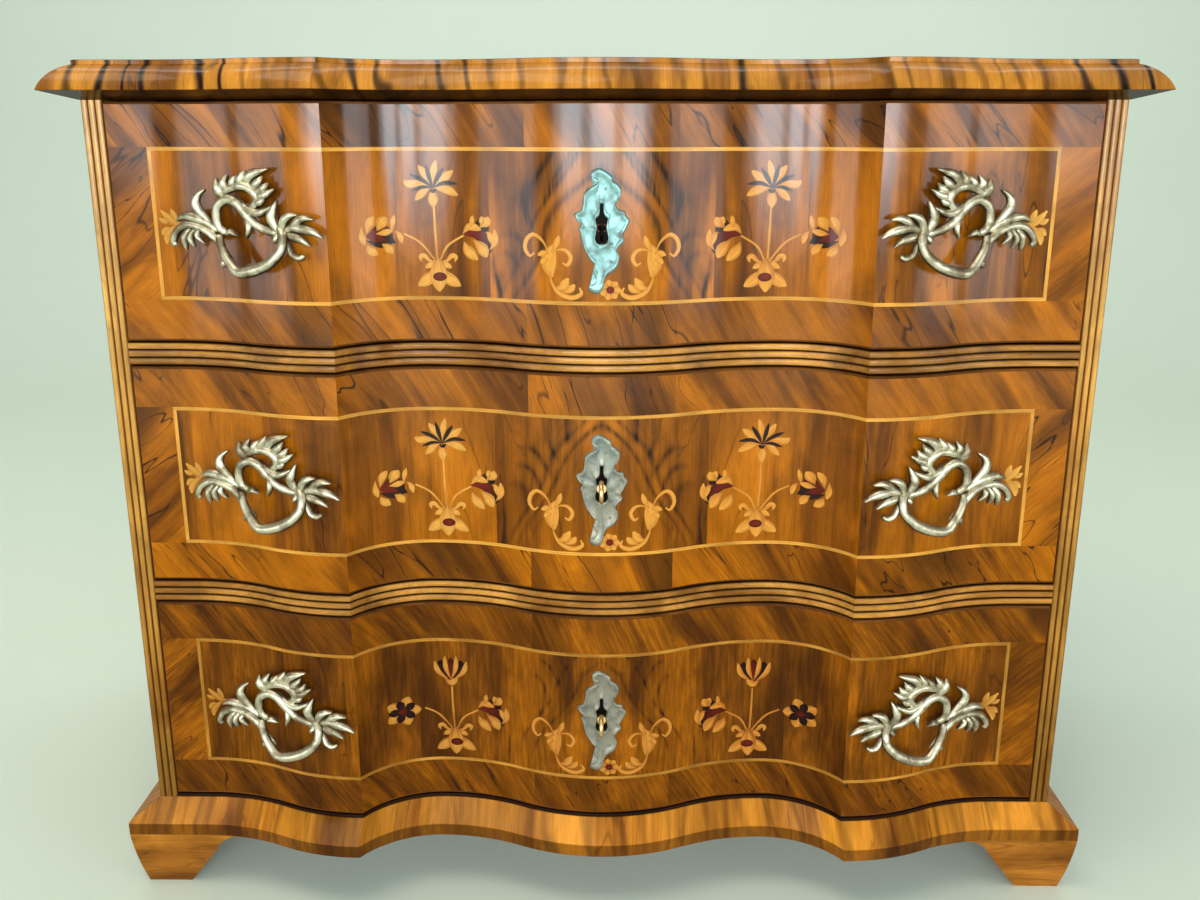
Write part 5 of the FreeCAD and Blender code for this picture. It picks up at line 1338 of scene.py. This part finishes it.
class CHEST_OT_finish(bpy.types.Operator):
    """Stain, varnish and patina on every solid piece"""

    bl_idname = "chest.finish"
    bl_label = "Finish the solids"

    def execute(self, context):
        finish = context.scene.chest_finish
        make_woods(finish)
        METALS["brass"] = metal_material(
            "old_brass", (*finish.brass, 1.0), linear(132, 118, 92), 0.34, 0.18
        )
        iron = metal_material("old_iron", linear(110, 104, 98), linear(58, 50, 44), 0.42, 0.25)
        gilt = metal_material("key_brass", linear(236, 206, 150), linear(176, 138, 84), 0.3, 0.18)
        rust = linear(30, 15, 8)
        tones = linear(190, 124, 40), linear(116, 66, 20), rust
        # The top's underside is painted near black: painted shade under the overhang.
        edge = crossband_material("top_edge", *tones, 0.6, 1.0, TOP_SHADOW_Z, 0.07)
        tones = linear(216, 140, 42), linear(128, 70, 16), rust
        base = crossband_material("plinth_band", *tones, 0.5, 0.45, PLINTH_FOOT_Z, 0.36)
        paint("top", edge)
        for part in ("front", "left", "right"):
            paint(f"plinth_{part}", base)
        tones = linear(196, 136, 62), linear(124, 76, 28), linear(22, 10, 4)
        for part in ("lower", "upper"):
            rail = f"{part}_rail"
            low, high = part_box(rail)
            paint(rail, reeded_material(rail, *tones, "Z", low[2], (high[2] - low[2]) / REEDS))
        low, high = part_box("right_corner_post")
        tones = linear(214, 160, 78), linear(164, 106, 42), linear(112, 66, 24)
        pitch = (high[0] - low[0]) / REEDS
        post = reeded_material("post", *tones, "X", low[0], pitch, low[1] + REED_DEPTH)
        darken_low(post, *POST_SHADE)
        paint("base_bead", WOODS["bead"])
        for name, _ in SIDES:
            paint(f"{name}_corner_post", post)
            paint(f"{name}_side_panel", WOODS["body"])
            paint(f"front_{name}_foot", WOODS["foot"])
            paint(f"rear_{name}_foot", WOODS["foot"])
            for strip in ("lower_runner", "upper_runner", "kicker"):
                paint(f"{name}_{strip}", WOODS["pine"])
        paint("back_boards", WOODS["planks"])
        for name in ("bottom_board", "drawer_stops", "foot_blocks"):
            paint(name, WOODS["pine_across"])
        for level in LEVELS:
            paint(f"{level}_drawer_front", WOODS["lengthwise"])
            for name, _ in SIDES:
                paint(f"{level}_drawer_{name}_side", WOODS["pine"])
            paint(f"{level}_drawer_back", WOODS["pine_across"])
            paint(f"{level}_drawer_bottom", WOODS["pine_across"])
            for name in ("lock_case", "lock_bolt", "handle_bolts"):
                paint(f"{level}_{name}", iron)
        for level in ("lower", "middle"):
            paint(f"{level}_key", gilt)
        return {"FINISHED"}


class CHEST_OT_veneer(bpy.types.Operator):
    """Veneer leaves and strings on the drawer fronts, the top and the sides"""

    bl_idname = "chest.veneer"
    bl_label = "Lay the veneers"

    def execute(self, context):
        for level in LEVELS:
            veneer_front(level, context.scene.chest_sizes)
        veneer_top(context.scene.chest_sizes)
        for name, side in SIDES:
            veneer_side(name, side, context.scene.chest_sizes)
        return {"FINISHED"}


class CHEST_OT_inlay(bpy.types.Operator):
    """Inlaid flower sprays, scrolls and sprigs on the drawer fronts"""

    bl_idname = "chest.inlay"
    bl_label = "Inlay the flowers"

    def execute(self, context):
        lift = context.scene.chest_sizes.veneer_thickness + INLAY_LIFT
        finishes = [
            wood_material(
                "inlay_boxwood", linear(230, 172, 78), linear(208, 136, 48), linear(116, 54, 14), 0.2
            ),
            wood_material("inlay_brown", linear(52, 30, 20), linear(40, 22, 16), linear(20, 10, 8), 0.3),
            wood_material("inlay_red", linear(112, 34, 18), linear(92, 26, 14), linear(40, 14, 10), 0.2),
        ]
        for level in LEVELS:
            work = Patchwork()
            middle = drawer_middle(level)
            top = TULIP if level == "lower" else CARNATION
            outer = STAR if level == "lower" else POPPY
            for _, side in SIDES:
                inlay_spray(work, middle, side, lift, top, outer)
            inlay_scrolls(work, middle, lift)
            inlay_sprigs(work, middle, lift)
            work.build(f"{level}_inlay", f"{level}_drawer", finishes)
        return {"FINISHED"}


class CHEST_OT_pulls(bpy.types.Operator):
    """Cast openwork pulls, one at each end of every drawer"""

    bl_idname = "chest.pulls"
    bl_label = "Cast the pulls"

    def execute(self, context):
        for level in LEVELS:
            for name, side in SIDES:
                cast_pull(level, name, side, METALS["brass"])
        return {"FINISHED"}


class CHEST_OT_plates(bpy.types.Operator):
    """Relief plates round the keyholes"""

    bl_idname = "chest.plates"
    bl_label = "Fit the keyhole plates"

    def execute(self, context):
        material = plate_material()
        for level in LEVELS:
            keyhole_plate(level, material)
        return {"FINISHED"}


class CHEST_OT_stage(bpy.types.Operator):
    """Pale floor and air, soft light and a camera at the height of the eye"""

    bl_idname = "chest.stage"
    bl_label = "Set the stage"

    def execute(self, context):
        scene = context.scene
        pale_floor(scene)
        pale_air(scene)
        for lamp in LAMPS:
            hang_lamp(scene, *lamp)
        set_eye(scene)
        return {"FINISHED"}


class CHEST_PT_panel(bpy.types.Panel):
    """Everything about the chest in the sidebar"""

    bl_idname = "CHEST_PT_panel"
    bl_label = "Chest of drawers"
    bl_space_type = "VIEW_3D"
    bl_region_type = "UI"
    bl_category = "Chest"

    def draw(self, context):
        layout = self.layout
        for group in (context.scene.chest_finish, context.scene.chest_sizes):
            box = layout.box()
            for name in group.__annotations__:
                box.prop(group, name)
        for operator in OPERATORS:
            layout.operator(operator.bl_idname)


OPERATORS = (
    CHEST_OT_finish, CHEST_OT_veneer, CHEST_OT_inlay, CHEST_OT_pulls, CHEST_OT_plates, CHEST_OT_stage
)
CLASSES = (ChestFinish, ChestSizes, *OPERATORS, CHEST_PT_panel)


def register():
    for item in CLASSES:
        bpy.utils.register_class(item)
    bpy.types.Scene.chest_finish = bpy.props.PointerProperty(type=ChestFinish)
    bpy.types.Scene.chest_sizes = bpy.props.PointerProperty(type=ChestSizes)


def unregister():
    del bpy.types.Scene.chest_sizes
    del bpy.types.Scene.chest_finish
    for item in reversed(CLASSES):
        bpy.utils.unregister_class(item)


def main():
    register()
    bpy.ops.chest.finish()
    bpy.ops.chest.veneer()
    bpy.ops.chest.inlay()
    bpy.ops.chest.pulls()
    bpy.ops.chest.plates()
    bpy.ops.chest.stage()


if __name__ == "__main__":
    main()
